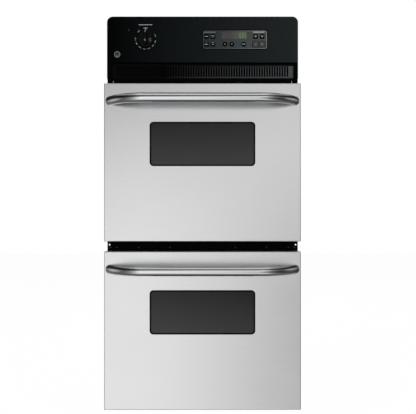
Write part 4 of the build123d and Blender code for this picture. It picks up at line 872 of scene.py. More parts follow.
def join(pieces: list[Piece], name: str) -> Piece:
    """One piece made of several.

    Args:
        pieces: What is joined; the first one stays.
        name: The name of the whole.

    Returns:
        The joined piece.
    """
    single_out(pieces[0])
    for piece in pieces:
        piece.select_set(True)
    bpy.ops.object.join()
    whole = bpy.context.object
    whole.name = whole.data.name = name
    return whole


def repeat(pattern: Piece, name: str, places: Iterable[Place]) -> Piece:
    """One piece made of copies of a pattern, which is then removed.

    Args:
        pattern: What is repeated.
        name: The name of the whole.
        places: How far each copy is moved.

    Returns:
        The joined copies.
    """
    copies = [copy_of(pattern, name, place) for place in places]
    bpy.data.objects.remove(pattern)
    return join(copies, name)


def add_figures(words: str, size: float, weight: float, change: Matrix) -> Piece:
    """Flat upright figures as a mesh.

    Args:
        words: The figures.
        size: Size of the type.
        weight: How much their strokes are thickened.
        change: Turns and places them; they start upright at the origin and face the cook.

    Returns:
        The figures.
    """
    bpy.ops.object.select_all(action="DESELECT")
    bpy.ops.object.text_add()
    text = bpy.context.object.data
    text.body = words
    text.size = size
    text.align_x = "CENTER"
    text.align_y = "CENTER"
    text.extrude = FIGURE_HALF
    text.offset = weight
    text.space_character = FIGURE_SPACING
    text.resolution_u = 3
    bpy.ops.object.convert(target="MESH")
    figures = bpy.context.object
    figures.data.transform(change @ Matrix.Rotation(QUARTER, 4, "X"))
    return figures


def fascia_front() -> float:
    """Where the front of the control fascia is along Y."""
    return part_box("control_panel")[0].y


def facing(low: Vector, high: Vector, depth: float) -> Place:
    """The middle of a box across and up, at a depth of its own."""
    return ((low.x + high.x) / 2, depth, (low.z + high.z) / 2)


def dress(piece: Piece, body: str, finish: Finish, angle: float = 35.0) -> Piece:
    """Give a finished piece its material, its body and smooth shading.

    Args:
        piece: The piece, in place.
        body: The body of the frame that it moves with.
        finish: Its finish.
        angle: Edges sharper than this stay crisp, in degrees.

    Returns:
        The piece.
    """
    single_out(piece)
    bpy.ops.object.shade_smooth_by_angle(angle=math.radians(angle))
    piece.data.materials.clear()
    piece.data.materials.append(finish.material())
    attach(piece, body)
    log.info("%s rides on %s in %s", piece.name, body, finish.name)
    return piece


@dataclass
class PackedNodes:
    """The CAD nodes, which keep their shapes and get finished materials.

    Attributes:
        screen: A painted reflection, the lighter grey that each window's glass passes into towards its
            bottom.
    """

    screen: Colour = grey(0.026)

    def dress(self) -> None:
        """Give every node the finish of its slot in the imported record."""
        for row in frame["record"]["subparts"]:
            name = row["node"]
            finish = SLOT_FINISHES[row["material_slot"]]
            # Each window's glass grows lighter towards its bottom: a painted reflection.
            if name.endswith("_door_glass"):
                finish = self.with_painted_reflection(name, finish)
            node = frame["nodes"][name]
            node.data.materials.clear()
            node.data.materials.append(finish.material())
            log.info("%s is finished in %s", name, finish.name)

    def with_painted_reflection(self, name: str, glass: Finish) -> Finish:
        """The dark glass of one window, lighter towards its bottom with a painted reflection.

        Args:
            name: The glass node.
            glass: The plain dark glass.

        Returns:
            The finish of that window.
        """
        low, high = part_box(name)
        return TwoToneAndPaintedLightFinish(
            f"{name}_screened", glass.colour, glass.accent, glass.marks, glass.pitch, glass.roughness,
            glass.relief, specular=glass.specular, axis=2, start=high.z - WINDOW_LAP, end=low.z + WINDOW_LAP,
            far=self.screen,
        )


@dataclass
class Door:
    """What a drop door carries besides its metal and glass.

    Attributes:
        oven: "lower" or "upper".
        seal: Width of the black seal round the window.
        seal_proud: How far the seal stands out of the skin.
        seal_soft: Rounding of its front edges.
        corner: Rounding of the window's corners.
        frame_sheet: Sheet thickness of the frame between the panes.
        wool_room: How far the filling keeps clear of what is round it.
        wool_cuts: How finely the filling is divided before it is puffed.
        coil_wire: Radius of the springs' wire.
        coil_pitch: Rise of one turn of a spring.
        coil_sides: Sides of the wire's section.
        coil_steps: Steps in one turn.
    """

    oven: str
    seal: float = 4.6 * MM
    seal_proud: float = 0.3 * MM
    seal_soft: float = 0.5 * MM
    corner: float = 12 * MM
    frame_sheet: float = 0.8 * MM
    wool_room: float = 2 * MM
    wool_cuts: int = 5
    coil_wire: float = 0.55 * MM
    coil_pitch: float = 1.25 * MM
    coil_sides: int = 6
    coil_steps: int = 12

    @property
    def body(self) -> str:
        """The body that the door's pieces move with."""
        return f"{self.oven}_door"

    def build(self) -> None:
        """Make every piece of the door."""
        self.window_seal()
        self.window_frame()
        self.filling()
        self.spring_coils()

    def window_seal(self) -> None:
        """The black rubber line between the window's glass and the skin."""
        low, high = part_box(f"{self.oven}_door_glass")
        proud = low.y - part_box(f"{self.oven}_door_skin")[0].y + self.seal_proud
        width = high.x - low.x - 2 * WINDOW_LAP
        height = high.z - low.z - 2 * WINDOW_LAP
        rim = Rim(self.corner, self.seal, proud, self.seal_soft)
        piece = rim.add(f"{self.oven}_window_seal", facing(low, high, low.y), width, height)
        dress(piece, self.body, SEAL_RUBBER)

    def window_frame(self) -> None:
        """The dark sheet metal frame between the two panes, which keeps the filling off the view."""
        low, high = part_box(f"{self.oven}_inner_glass")
        gap = low.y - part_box(f"{self.oven}_door_glass")[1].y
        rim = Rim(self.corner, self.frame_sheet, gap, 0.3 * self.frame_sheet)
        piece = rim.add(f"{self.oven}_window_frame", facing(low, high, low.y), high.x - low.x, high.z - low.z)
        dress(piece, self.body, SLOT_FINISHES["black_enamel"])

    def filling(self) -> None:
        """The glass wool between the skin and the liner, open round the windows."""
        node = f"{self.oven}_door_insulation"
        low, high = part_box(node)
        glass_low, glass_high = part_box(f"{self.oven}_inner_glass")
        room = self.wool_room
        piece = add_plate(f"{self.oven}_door_wool", facing(low, high, high.y - room),
                          high.x - low.x - 2 * room, high.z - low.z - 2 * room)
        margin = Vector((room, 0.0, room))
        with editing(piece):
            for axis in ((1, 0, 0), (0, 0, 1)):
                for corner in (glass_low - margin, glass_high + margin):
                    bpy.ops.mesh.select_all(action="SELECT")
                    bpy.ops.mesh.bisect(plane_co=corner, plane_no=axis)
            pick(piece, Part.FACES, lambda middle, normal: glass_low.x < middle.x < glass_high.x
                 and glass_low.z < middle.z < glass_high.z)
            bpy.ops.mesh.delete(type="FACE")
        thicken(piece, high.y - low.y - 2 * room)
        puff(piece, self.wool_cuts, depth=room)
        dress(piece, self.body, SLOT_FINISHES["glass_wool"], SOFT_ANGLE)
        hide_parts(node)

    def spring_coils(self) -> None:
        """The two close-wound springs in the door's hinge channels."""
        node = f"{self.oven}_hinge_springs"
        low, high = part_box(node)
        radius = (high.y - low.y) / 2
        turns = int((high.z - low.z - 2 * self.coil_wire) / self.coil_pitch)
        start = (radius - self.coil_wire, 0.0, 0.0)
        coil = add_disc("coil", start, self.coil_wire, self.coil_sides, filled=False)
        modify(coil, "SCREW", axis="Z", screw_offset=self.coil_pitch, iterations=turns, steps=self.coil_steps,
               render_steps=self.coil_steps, use_smooth_shade=True)
        with editing(coil):
            bpy.ops.mesh.edge_face_add()
            bpy.ops.mesh.select_all(action="SELECT")
            bpy.ops.mesh.normals_make_consistent(inside=False)
        places = [
            (way * (high.x - radius), (low.y + high.y) / 2, low.z + self.coil_wire) for way in (-1, 1)
        ]
        piece = repeat(coil, f"{self.oven}_spring_coils", places)
        dress(piece, self.body, SLOT_FINISHES["spring_steel"], SOFT_ANGLE)
        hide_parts(node)


@dataclass
class OvenCavity:
    """The soft pieces round one oven: its blanket and the rope seal at its mouth.

    Attributes:
        oven: "lower" or "upper".
        floor: Height of the cavity's floor.
        width: Width of the mouth.
        height: Height of the mouth.
        corner: Rounding of the mouth's corners.
        blanket: Thickness of the space for the blanket.
        room: How far the blanket keeps clear of what is round it.
        wall_cuts: How finely the blanket's walls are divided before they get their thickness.
        seal_inset: Distance of the rope seal from the mouth.
        seal_width: Width of the rope seal.
        seal_steps: Steps of its corners and of its round front.
    """

    oven: str
    floor: float
    width: float = 440 * MM
    height: float = 356 * MM
    corner: float = 20 * MM
    blanket: float = 41.2 * MM
    room: float = 1.5 * MM
    wall_cuts: int = 7
    seal_inset: float = 8 * MM
    seal_width: float = 14 * MM
    seal_steps: tuple[int, int] = (10, 4)

    @property
    def middle_z(self) -> float:
        """Height of the mouth's middle."""
        return self.floor + self.height / 2

    def build(self) -> list[Piece]:
        """Make the blanket and the rope seal, which stand for CAD nodes that both ovens share."""
        return [self.wrap(), self.rope_seal()]

    def wrap(self) -> Piece:
        """The glass wool blanket round the liner, open at the front.

        Returns:
            The blanket.
        """
        low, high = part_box("insulation_blankets")
        half_width = self.width / 2 + self.blanket - self.room
        half_height = self.height / 2 + self.blanket - self.room
        piece = add_block(f"{self.oven}_oven_wool", (-half_width, low.y, self.middle_z - half_height),
                          (half_width, high.y - self.room, self.middle_z + half_height))
        with editing(piece):
            pick(piece, Part.FACES, lambda middle, normal: normal.y < -0.5)
            bpy.ops.mesh.delete(type="FACE")
        with editing(piece):
            bpy.ops.mesh.subdivide(number_cuts=self.wall_cuts)
        modify(piece, "SOLIDIFY", thickness=self.blanket - 4 * self.room, offset=-1.0, use_even_offset=True)
        puff(piece, cuts=1, depth=self.room)
        dress(piece, "chassis", SLOT_FINISHES["glass_wool"], SOFT_ANGLE)
        return piece

    def rope_seal(self) -> Piece:
        """The woven rope round the oven's mouth, which the door presses on.

        Returns:
            The seal.
        """
        low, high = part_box("door_gaskets")
        margin = self.seal_inset + self.seal_width
        depth = high.y - low.y
        rim = Rim(self.corner + margin, self.seal_width, depth, 0.75 * depth, *self.seal_steps)
        piece = rim.add(f"{self.oven}_rope_seal", (0.0, high.y, self.middle_z),
                        self.width + 2 * margin, self.height + 2 * margin)
        return dress(piece, "chassis", SLOT_FINISHES["woven_gasket"], SOFT_ANGLE)


@dataclass
class DialPrint:
    """The printed figures round the dial, the line on the knob, and painted highlights on the knob.

    Attributes:
        x: The dial's middle along X.
        z: The dial's height.
        ring: Distance of the figures from the middle.
        figure_size: Size of the figures' type.
        figure_weight: How much their strokes are thickened.
        figures: Each figure and its angle, clockwise from the top in degrees.
        index_reach: Outer and inner ends of the mark at the top, from the dial's middle.
        index_neck: Where its bar ends and its stem begins.
        index_widths: Width of its bar and of its stem.
        line_ends: Where the knob's line starts on the grip and where the grip's face ends.
        line_width: Width of that line.
        grip_end: How far out and back the line goes over the grip's end, from where its face ends.
        grip_foot: Distance of the foot of the grip's end from the middle.
        skirt_thickness: Thickness of the knob's round skirt.
        skirt_radius: Radius of the skirt.
        rim_bends: Where the line bends over the skirt's rounded rim, in degrees.
        nought: Place of the 0 on the skirt, a painted highlight, from the dial's middle.
        nought_size: Size of its type.
        arrow_drop: How far the small arrow on the grip, a painted highlight, is below the dial's middle.
        arrow_size: Its width and height.
        rule_size: Width and height of the line above the dial.
        rule_above: How far that line is above the dial's middle.
    """

    x: float = -177 * MM
    z: float = 1149 * MM
    ring: float = 31.4 * MM
    figure_size: float = 4.2 * MM
    figure_weight: float = 0.09 * MM
    figures: tuple[tuple[str, float], ...] = (
        ("150", 70), ("200", 106), ("250", 133), ("300", 161), ("350", 188),
        ("400", 215), ("450", 243), ("500", 270), ("550", 318),
    )
    index_reach: Span = (35.4 * MM, 25.8 * MM)
    index_neck: float = 32.6 * MM
    index_widths: Span = (13.5 * MM, 3.6 * MM)
    line_ends: Span = (15.5 * MM, 18.4 * MM)
    line_width: float = 2.4 * MM
    grip_end: tuple[Span, ...] = ((1.0 * MM, 0.4 * MM), (1.6 * MM, 1.5 * MM))
    grip_foot: float = 21.7 * MM
    skirt_thickness: float = 6 * MM
    skirt_radius: float = 25 * MM
    rim_bends: tuple[int, ...] = (0, 30, 60, 85)
    nought: Span = (14.5 * MM, -5 * MM)
    nought_size: float = 16 * MM
    arrow_drop: float = 7 * MM
    arrow_size: Span = (6.4 * MM, 8.5 * MM)
    rule_size: Span = (42 * MM, 1.6 * MM)
    rule_above: float = 44 * MM

    def build(self) -> None:
        """Make the print on the fascia and on the knob, and the knob's painted highlights."""
        self.print_figures()
        self.print_index()
        self.print_rule()
        self.knob_line()
        self.knob_painted_glints()

    def print_figures(self) -> None:
        """Plain numbers round the dial, turned so that none stands on its head."""
        face = fascia_front()
        pieces = []
        for words, angle in self.figures:
            turn = math.radians(angle)
            place = (self.x + self.ring * math.sin(turn), face, self.z + self.ring * math.cos(turn))
            lean = turn + math.pi if 90 < angle < 270 else turn
            change = Matrix.Translation(place) @ Matrix.Rotation(lean, 4, "Y")
            pieces.append(add_figures(words, self.figure_size, self.figure_weight, change))
        dress(join(pieces, "dial_figures"), "chassis", PRINT_WHITE)

    def print_index(self) -> None:
        """The mark at the top, a short bar on a stem, that the knob's line meets when the dial is off."""
        outer, inner = self.index_reach
        wide, narrow = self.index_widths
        neck = self.z + self.index_neck
        middle = (self.x, fascia_front(), self.z + (outer + inner) / 2)
        piece = add_plate("dial_index", middle, narrow, outer - inner)
        with editing(piece):
            bpy.ops.mesh.bisect(plane_co=(0.0, 0.0, neck), plane_no=(0.0, 0.0, 1.0))
            for way in (-1, 1):
                pick(piece, Part.EDGES, lambda place, normal: place.z > neck + HAIR
                     and (place.x - self.x) * way > 0.4 * narrow)
                draw_out((way * (wide - narrow) / 2, 0.0, 0.0))
        thicken(piece, PRINT)
        dress(piece, "chassis", PRINT_DIM)

    def print_rule(self) -> None:
        """A plain line above the dial."""
        width, height = self.rule_size
        piece = add_plate("dial_rule", (self.x, fascia_front(), self.z + self.rule_above), width, height)
        round_corners(piece, 0.4 * height, steps=2)
        thicken(piece, PRINT)
        dress(piece, "chassis", PRINT_WHITE)

    def knob_line(self) -> None:
        """The pale line along the grip's front, down its end and over the skirt's rounded rim."""
        low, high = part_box("dial_knob")
        start, edge = self.line_ends
        skirt = high.y - self.skirt_thickness
        rim = self.skirt_thickness / 2
        path = [(edge + out, low.y + back) for out, back in self.grip_end]
        path.append((self.grip_foot, skirt))
        for degrees in self.rim_bends:
            turn = math.radians(degrees)
            path.append((self.skirt_radius - rim + rim * math.sin(turn), skirt + rim - rim * math.cos(turn)))
        middle = (self.x, low.y - PRINT / 2, self.z + (start + edge) / 2)
        piece = add_plate("knob_line", middle, self.line_width, edge - start)
        last_out, last_y = edge, low.y
        with editing(piece):
            pick(piece, Part.EDGES, lambda place, normal: place.z > self.z + edge - HAIR)
            for out, y in path:
                draw_out((0.0, y - last_y, out - last_out))
                last_out, last_y = out, y
        modify(piece, "SOLIDIFY", thickness=PRINT, offset=1.0)
        dress(piece, "dial", PRINT_DIM)

    def knob_painted_glints(self) -> None:
        """Painted highlights on the knob, in grey ink: a 0 on its skirt and a small arrow on its grip."""
        low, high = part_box("dial_knob")
        right, up = self.nought
        place = Matrix.Translation((self.x + right, high.y - self.skirt_thickness, self.z + up))
        nought = add_figures("0", self.nought_size, self.figure_weight, place)
        arrow = add_arrow("knob_glint_arrow", (self.x, low.y, self.z - self.arrow_drop), *self.arrow_size)
        thicken(arrow, PRINT)
        # The 0 and the arrow are painted highlights where the knob catches light, in grey ink.
        dress(join([nought, arrow], "knob_painted_glints"), "dial", PRINT_GREY)


@dataclass
class FasciaDetails:
    """The plain badge, the indicator lamp and the clips on the fascia, and what closes its vent.

    Attributes:
        badge: The badge's middle along X and Z.
        badge_radius: Its radius.
        badge_rim: Width of its bright rim.
        badge_thickness: How far the rim stands out.
        lamp: The indicator lamp's middle along X and Z.
        lamp_radius: Its radius.
        clip_x: How far the two clips on the fascia's lower lip are from the middle.
        clip_size: Width and height of a clip.
        clip_foot: Height of a clip's lower end above the fascia's.
        recess_wall: Thickness of the fascia's wall behind the grille.
        duct_half: Half the width of the blower's duct, which has vanes instead of a baffle.
        baffle_rise: How far a baffle stands above and below the grille.
        baffle_fold: Depth of a baffle's folded rim, which carries the ends of the vanes.
        sheet: Sheet thickness of the baffles and vanes.
        vane_count: How many vanes turn the blower's air upwards.
        vane_chord: Size of a vane from its front edge to its back edge.
        vane_lean: How far a vane is turned from upright, in degrees.
    """

    badge: Span = (-265 * MM, 1101 * MM)
    badge_radius: float = 9.4 * MM
    badge_rim: float = 2.0 * MM
    badge_thickness: float = 1.0 * MM
    lamp: Span = (-229 * MM, 1176 * MM)
    lamp_radius: float = 2.6 * MM
    clip_x: float = 277 * MM
    clip_size: Span = (3.4 * MM, 8 * MM)
    clip_foot: float = 2.2 * MM
    recess_wall: float = 3.0 * MM
    duct_half: float = 132 * MM
    baffle_rise: float = 5 * MM
    baffle_fold: float = 12 * MM
    sheet: float = 0.8 * MM
    vane_count: int = 6
    vane_chord: float = 13 * MM
    vane_lean: float = 45.0

    def build(self) -> None:
        """Make the badge, the lamp's lens, the clips, the baffles and the vanes."""
        self.badge_rings()
        self.lens()
        self.clips()
        self.baffles()
        self.vanes()

    def badge_rings(self) -> None:
        """A plain round badge with a bright rim and a dark sunken middle."""
        x, z = self.badge
        place = (x, fascia_front(), z)
        rim = add_disc("badge_rim", place, self.badge_radius, sides=64)
        open_middle(rim, self.badge_rim)
        thicken(rim, self.badge_thickness)
        soften_front(rim, 0.35 * self.badge_thickness)
        dress(rim, "chassis", BADGE_METAL)
        middle = add_button("badge_middle", place, self.badge_radius - self.badge_rim, sides=64,
                            depth=0.4 * self.badge_thickness, soft=0.15 * self.badge_thickness)
        dress(middle, "chassis", BADGE_ENAMEL)

    def lens(self) -> None:
        """The domed lens of the indicator lamp."""
        x, z = self.lamp
        radius = self.lamp_radius
        piece = add_button("indicator_lens", (x, fascia_front(), z), radius, sides=32,
                           depth=0.5 * radius, soft=0.45 * radius, steps=4)
        dress(piece, "chassis", LAMP_LENS)

    def clips(self) -> None:
        """Two small steel clips on the lip under the vent, narrower at the top."""
        width, height = self.clip_size
        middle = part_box("control_panel")[0].z + self.clip_foot + height / 2
        clip = add_plate("clip", (self.clip_x, fascia_front(), middle), width, height)
        taper(clip, middle, height, share=0.4)
        thicken(clip, 0.3 * width)
        soften_front(clip, 0.1 * width)
        pair = repeat(clip, "lip_clips", [(0.0, 0.0, 0.0), (-2 * self.clip_x, 0.0, 0.0)])
        dress(pair, "chassis", BADGE_METAL)

    def baffles(self) -> None:
        """Two folded plates that close the recess beside the blower's duct, black as painted shade in the
        recess.
        """
        low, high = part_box("vent_grille")
        back = high.y + self.recess_wall + self.baffle_fold
        width = high.x - self.duct_half
        baffle = add_plate("baffle", (self.duct_half + width / 2, back, (low.z + high.z) / 2),
                           width, high.z - low.z + 2 * self.baffle_rise)
        thicken(baffle, self.baffle_fold)
        with editing(baffle):
            pick(baffle, Part.FACES, lambda middle, normal: normal.y > 0.9)
            bpy.ops.mesh.inset(thickness=self.sheet)
            sink = (0.0, self.sheet - self.baffle_fold, 0.0)
            bpy.ops.mesh.extrude_region_move(TRANSFORM_OT_translate={"value": sink})
        pair = repeat(baffle, "vent_baffles", [(0.0, 0.0, 0.0), (-2 * self.duct_half - width, 0.0, 0.0)])
        dress(pair, "chassis", SLOT_FINISHES["black_enamel"])

    def vanes(self) -> None:
        """Slanted vanes across the end of the blower's duct, with a turned edge at the front, black as
        painted shade in the duct.
        """
        low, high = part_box("vent_grille")
        middle = (0.0, high.y + self.recess_wall + self.baffle_fold / 2, 0.0)
        vane = add_plate("vane", middle, 2 * self.duct_half, self.vane_chord)
        with editing(vane):
            bpy.ops.transform.rotate(value=math.radians(self.vane_lean), orient_axis="X",
                                     center_override=middle)
            pick(vane, Part.EDGES, lambda place, normal: place.y < middle[1] - 0.2 * self.vane_chord)
            draw_out((0.0, 0.0, -2 * self.sheet))
        modify(vane, "SOLIDIFY", thickness=self.sheet, offset=0.0)
        pitch = (high.z - low.z) / self.vane_count
        places = [(0.0, 0.0, low.z + (number + 0.5) * pitch) for number in range(self.vane_count)]
        dress(repeat(vane, "vent_vanes", places), "chassis", SLOT_FINISHES["black_enamel"])


class Shape(Enum):
    """What one stroke of a key's sign looks like."""

    BAR = "a bar with rounded corners"
    ARROW = "an arrow head"
    SPOT = "a round spot"


@dataclass(frozen=True)
class Stroke:
    """One flat stroke of a key's sign.

    Attributes:
        shape: What it looks like.
        rise: How far its middle is above the key's middle.
        width: Size along X.
        height: Size along Z; below zero an arrow points down.
    """

    shape: Shape
    rise: float
    width: float
    height: float

    def add(self, middle: Place) -> Piece:
        """Make the stroke on a key's face.

        Args:
            middle: The middle of the face.

        Returns:
            The stroke.
        """
        x, y, z = middle
        place = (x, y, z + self.rise)
        if self.shape is Shape.ARROW:
            piece = add_arrow("stroke", place, self.width, self.height)
        elif self.shape is Shape.SPOT:
            piece = add_disc("stroke", place, self.width / 2, sides=20)
        else:
            piece = add_plate("stroke", place, self.width, self.height)
            round_corners(piece, 0.3 * min(self.width, self.height), steps=2)
        thicken(piece, PRINT)
        return piece


class Sign(Enum):
    """The plain sign on a key, as its strokes."""

    LINE = (Stroke(Shape.BAR, 0.0, 10.5 * MM, 2.0 * MM),)
    LINE_OVER_DASH = (
        Stroke(Shape.BAR, 1.6 * MM, 11.0 * MM, 1.8 * MM),
        Stroke(Shape.BAR, -3.0 * MM, 3.6 * MM, 1.2 * MM),
    )
    DASH_OVER_LINE = (
        Stroke(Shape.BAR, 5.0 * MM, 3.4 * MM, 1.4 * MM),
        Stroke(Shape.BAR, -0.8 * MM, 11.0 * MM, 2.0 * MM),
    )
    TWO_LINES = (
        Stroke(Shape.BAR, 4.8 * MM, 9.6 * MM, 1.1 * MM),
        Stroke(Shape.BAR, -0.8 * MM, 6.4 * MM, 1.8 * MM),
    )
    DOWN = (Stroke(Shape.ARROW, -0.4 * MM, 10.5 * MM, -6.0 * MM),)
    START = (
        Stroke(Shape.ARROW, 1.2 * MM, 7.0 * MM, 4.0 * MM),
        Stroke(Shape.BAR, -3.2 * MM, 7.0 * MM, 1.6 * MM),
    )
    STOP = (Stroke(Shape.BAR, 0.2 * MM, 6.4 * MM, 6.4 * MM),)
    DOT = (Stroke(Shape.SPOT, 0.0, 3.4 * MM, 3.4 * MM),)


@dataclass
class KeyPad:
    """The black ring round the bezel, a painted shadow of its gap, and the trim along its edge with painted
    light, the signs on the keys, and what the display shows.

    Attributes:
        signs: Each key, its sign and the ink it is printed in.
        headers: Name, middle, size and ink of the two bars above the keys.
        opening: Width, height and corner rounding of the fascia's opening round the bezel.
        seal: Width of the black ring outside the opening, a painted shadow of the gap round the bezel.
        seal_proud: How far the black ring stands out; the trim stands out twice as far.
        trim: Width of the trim along the bezel's edge, which grows lighter to the right with painted light.
        trim_gap: Distance of the trim from the opening.
        framed: The pale keys, which have a dark frame printed round them.
        key_frame: Width of that frame, and its gap from the key.
        digits: What the display shows.
        digit_height: Height of a digit.
        digit_width: Width of a digit.
        digit_pitch: Distance from one digit to the next.
        stroke: Width of a digit's bars.
        colon_radius: Radius of the colon's dots.
        last_digit_x: Middle of the last digit along X.
        display_z: Height of the digits' middle.
    """

    signs: tuple[tuple[str, Sign, Finish], ...] = (
        ("key_left_1", Sign.LINE, PRINT_PALE),
        ("key_left_2", Sign.LINE_OVER_DASH, PRINT_PALE),
        ("key_left_3", Sign.DASH_OVER_LINE, PRINT_PALE),
        ("key_left_4", Sign.TWO_LINES, PRINT_PALE),
        ("key_right_1", Sign.DOWN, PRINT_DIM),
        ("key_right_2", Sign.DOWN, PRINT_DIM),
        ("key_right_3", Sign.START, PRINT_GREY),
        ("key_right_4", Sign.STOP, PRINT_GREY),
        ("key_centre_1", Sign.DOT, PRINT_PALE),
        ("key_centre_2", Sign.DOT, PRINT_PALE),
        ("key_centre_3", Sign.LINE, PRINT_PALE),
    )
    headers: tuple[tuple[str, float, float, float, float, Finish], ...] = (
        ("header_left", 22.5 * MM, 1170.0 * MM, 36 * MM, 3.2 * MM, PRINT_GREY),
        ("header_right", 174.5 * MM, 1170.5 * MM, 36 * MM, 3.6 * MM, PRINT_PALE),
    )
    opening: Place = (199 * MM, 57 * MM, 6.5 * MM)
    seal: float = 2.4 * MM
    seal_proud: float = 0.4 * MM
    trim: float = 1.4 * MM
    trim_gap: float = 0.6 * MM
    framed: tuple[str, ...] = ("key_right_3", "key_right_4")
    key_frame: Span = (1.5 * MM, 0.7 * MM)
    digits: str = "1:00"
    digit_height: float = 13 * MM
    digit_width: float = 7.2 * MM
    digit_pitch: float = 9.6 * MM
    stroke: float = 1.5 * MM
    colon_radius: float = 0.8 * MM
    last_digit_x: float = 131 * MM
    display_z: float = 1161 * MM

    def build(self) -> None:
        """Make the black ring of painted shadow and the trim round the bezel, the headers, the signs, the key
        frames and the lit digits.
        """
        self.surround()
        self.header_bars()
        for key, sign, finish in self.signs:
            low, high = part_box(key)
            strokes = [stroke.add(facing(low, high, low.y)) for stroke in sign.value]
            dress(join(strokes, f"{key}_sign"), key, finish)
        self.key_frames()
        self.lit_digits()

    def surround(self) -> None:
        """A black ring on the fascia round the bezel, a painted shadow of the gap there, and the trim along
        the bezel's edge, lighter to the right with painted light.
        """
        low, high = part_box("key_bezel")
        width, height, corner = self.opening
        for name, grown, rim, back, proud, finish in (
            # The black ring is a painted shadow of the gap round the bezel, in the seal's rubber finish.
            ("bezel_painted_shadow", self.seal, self.seal, fascia_front(), self.seal_proud, SEAL_RUBBER),
            ("bezel_trim_painted_light", -self.trim_gap, self.trim, low.y, 2 * self.seal_proud, TRIM_PAINTED_LIGHT),
        ):
            ring = Rim(corner + grown, rim, proud, 0.4 * proud)
            piece = ring.add(name, facing(low, high, back), width + 2 * grown, height + 2 * grown)
            dress(piece, "chassis", finish)

    def header_bars(self) -> None:
        """The two bars printed above the keys."""
        bezel_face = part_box("key_bezel")[0].y
        for name, x, z, width, height, finish in self.headers:
            bar = add_plate(name, (x, bezel_face, z), width, height)
            round_corners(bar, 0.3 * height, steps=3)
            thicken(bar, PRINT)
            dress(bar, "chassis", finish)

    def key_frames(self) -> None:
        """The dark frames printed round the pale keys."""
        bezel_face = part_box("key_bezel")[0].y
        width, gap = self.key_frame
        grown = 2 * (gap + width)
        rim = Rim(2 * width, width, PRINT)
        pieces = []
        for key in self.framed:
            low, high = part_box(key)
            size = (high.x - low.x + grown, high.z - low.z + grown)
            pieces.append(rim.add("key_frame", facing(low, high, bezel_face), *size))
        dress(join(pieces, "key_frames"), "chassis", SEAL_RUBBER)

    def lit_digits(self) -> None:
        """Seven-bar digits under the display's lens."""
        bars = {"0": "abcdef", "1": "bc"}
        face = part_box("display_lens")[0].y
        half = self.digit_height / 2
        side = self.digit_width / 2
        inset = 0.15 * self.stroke
        upright = self.digit_bar("bar_upright", half - inset)
        level = self.digit_bar("bar_level", self.digit_width - inset)
        level.data.transform(Matrix.Rotation(QUARTER, 4, "Y"))
        places = {
            "a": (0.0, half, level), "d": (0.0, -half, level),
            "f": (-side, half / 2, upright), "b": (side, half / 2, upright),
            "e": (-side, -half / 2, upright), "c": (side, -half / 2, upright),
        }
        pieces = []
        for number, digit in enumerate(reversed(self.digits.replace(":", ""))):
            x = self.last_digit_x - number * self.digit_pitch
            for name in bars[digit]:
                aside, rise, pattern = places[name]
                pieces.append(copy_of(pattern, "lit_bar", (x + aside, face, self.display_z + rise)))
        colon_x = self.last_digit_x - 1.5 * self.digit_pitch
        for way in (-1, 1):
            colon_z = self.display_z + way * 0.25 * self.digit_height
            dot = add_disc("colon", (colon_x, face, colon_z), self.colon_radius, sides=12)
            thicken(dot, PRINT)
            pieces.append(dot)
        for pattern in (upright, level):
            bpy.data.objects.remove(pattern)
        dress(join(pieces, "display_digits"), "chassis", LIT_GREEN)

    def digit_bar(self, name: str, length: float) -> Piece:
        """One pointed bar of a digit, upright at the origin.

        Args:
            name: The piece's name.
            length: From point to point.

        Returns:
            The bar.
        """
        piece = add_disc(name, (0.0, 0.0, 0.0), self.stroke / 2, sides=6)
        pull = length / 2 - self.stroke / 2
        with editing(piece):
            for way in (-1, 1):
                pick(piece, Part.CORNERS, lambda place, normal: place.z * way > HAIR)
                bpy.ops.transform.translate(value=(0.0, 0.0, way * pull))
        thicken(piece, PRINT)
        return piece


@dataclass
class StripScrews:
    """The small dark screws in the strip of the frame between the doors.

    Attributes:
        height: Their height.
        places: How far they are from the middle, on both sides.
        radius: Radius of a head.
        rise: How far a head stands out.
    """

    height: float = 499.5 * MM
    places: tuple[float, ...] = (290 * MM, 270 * MM, 201 * MM, 103 * MM)
    radius: float = 2.4 * MM
    rise: float = 1.4 * MM

    def build(self) -> None:
        """Make one domed head and copy it along the strip."""
        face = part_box("front_frame")[0].y
        head = add_button("head", (0.0, face, self.height), self.radius, sides=24,
                          depth=self.rise, soft=0.7 * self.rise, steps=3)
        places = [(way * x, 0.0, 0.0) for way in (-1, 1) for x in self.places]
        dress(repeat(head, "strip_screws", places), "chassis", SCREW_DARK)


@dataclass
class BackScrews:
    """Flat dark crosses on the screws of the back panel, painted shade that stands for their cross recesses.

    Attributes:
        head_radius: Radius of a screw's head.
        reach: Distance from a cross's middle to the end of an arm.
        arm: Width of an arm.
        depth: Thickness of a cross.
        heights: Heights of the screws along each side.
    """

    head_radius: float = 4 * MM
    reach: float = 2.2 * MM
    arm: float = 0.7 * MM
    depth: float = 0.05 * MM
    heights: tuple[float, ...] = (40 * MM, 320 * MM, 600 * MM, 880 * MM, 1160 * MM)

    def build(self) -> None:
        """Make one cross and copy it to every screw."""
        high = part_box("frame_screws")[1]
        side_x = high.x - self.head_radius
        pull = self.reach - self.arm / 2
        cross = add_plate("cross", (0.0, 0.0, 0.0), self.arm, self.arm)
        with editing(cross):
            for x, z in ((1, 0), (-1, 0), (0, 1), (0, -1)):
                pick(cross, Part.EDGES, lambda place, normal: place.x * x + place.z * z > 0.49 * self.arm
                     and abs(place.x * z + place.z * x) < HAIR)
                draw_out((x * pull, 0.0, z * pull))
        thicken(cross, self.depth)
        places = [(way * side_x, high.y + self.depth, z) for way in (-1, 1) for z in self.heights]
        dress(repeat(cross, "screw_recess_shades", places), "chassis", PAINTED_RECESS_SHADE)


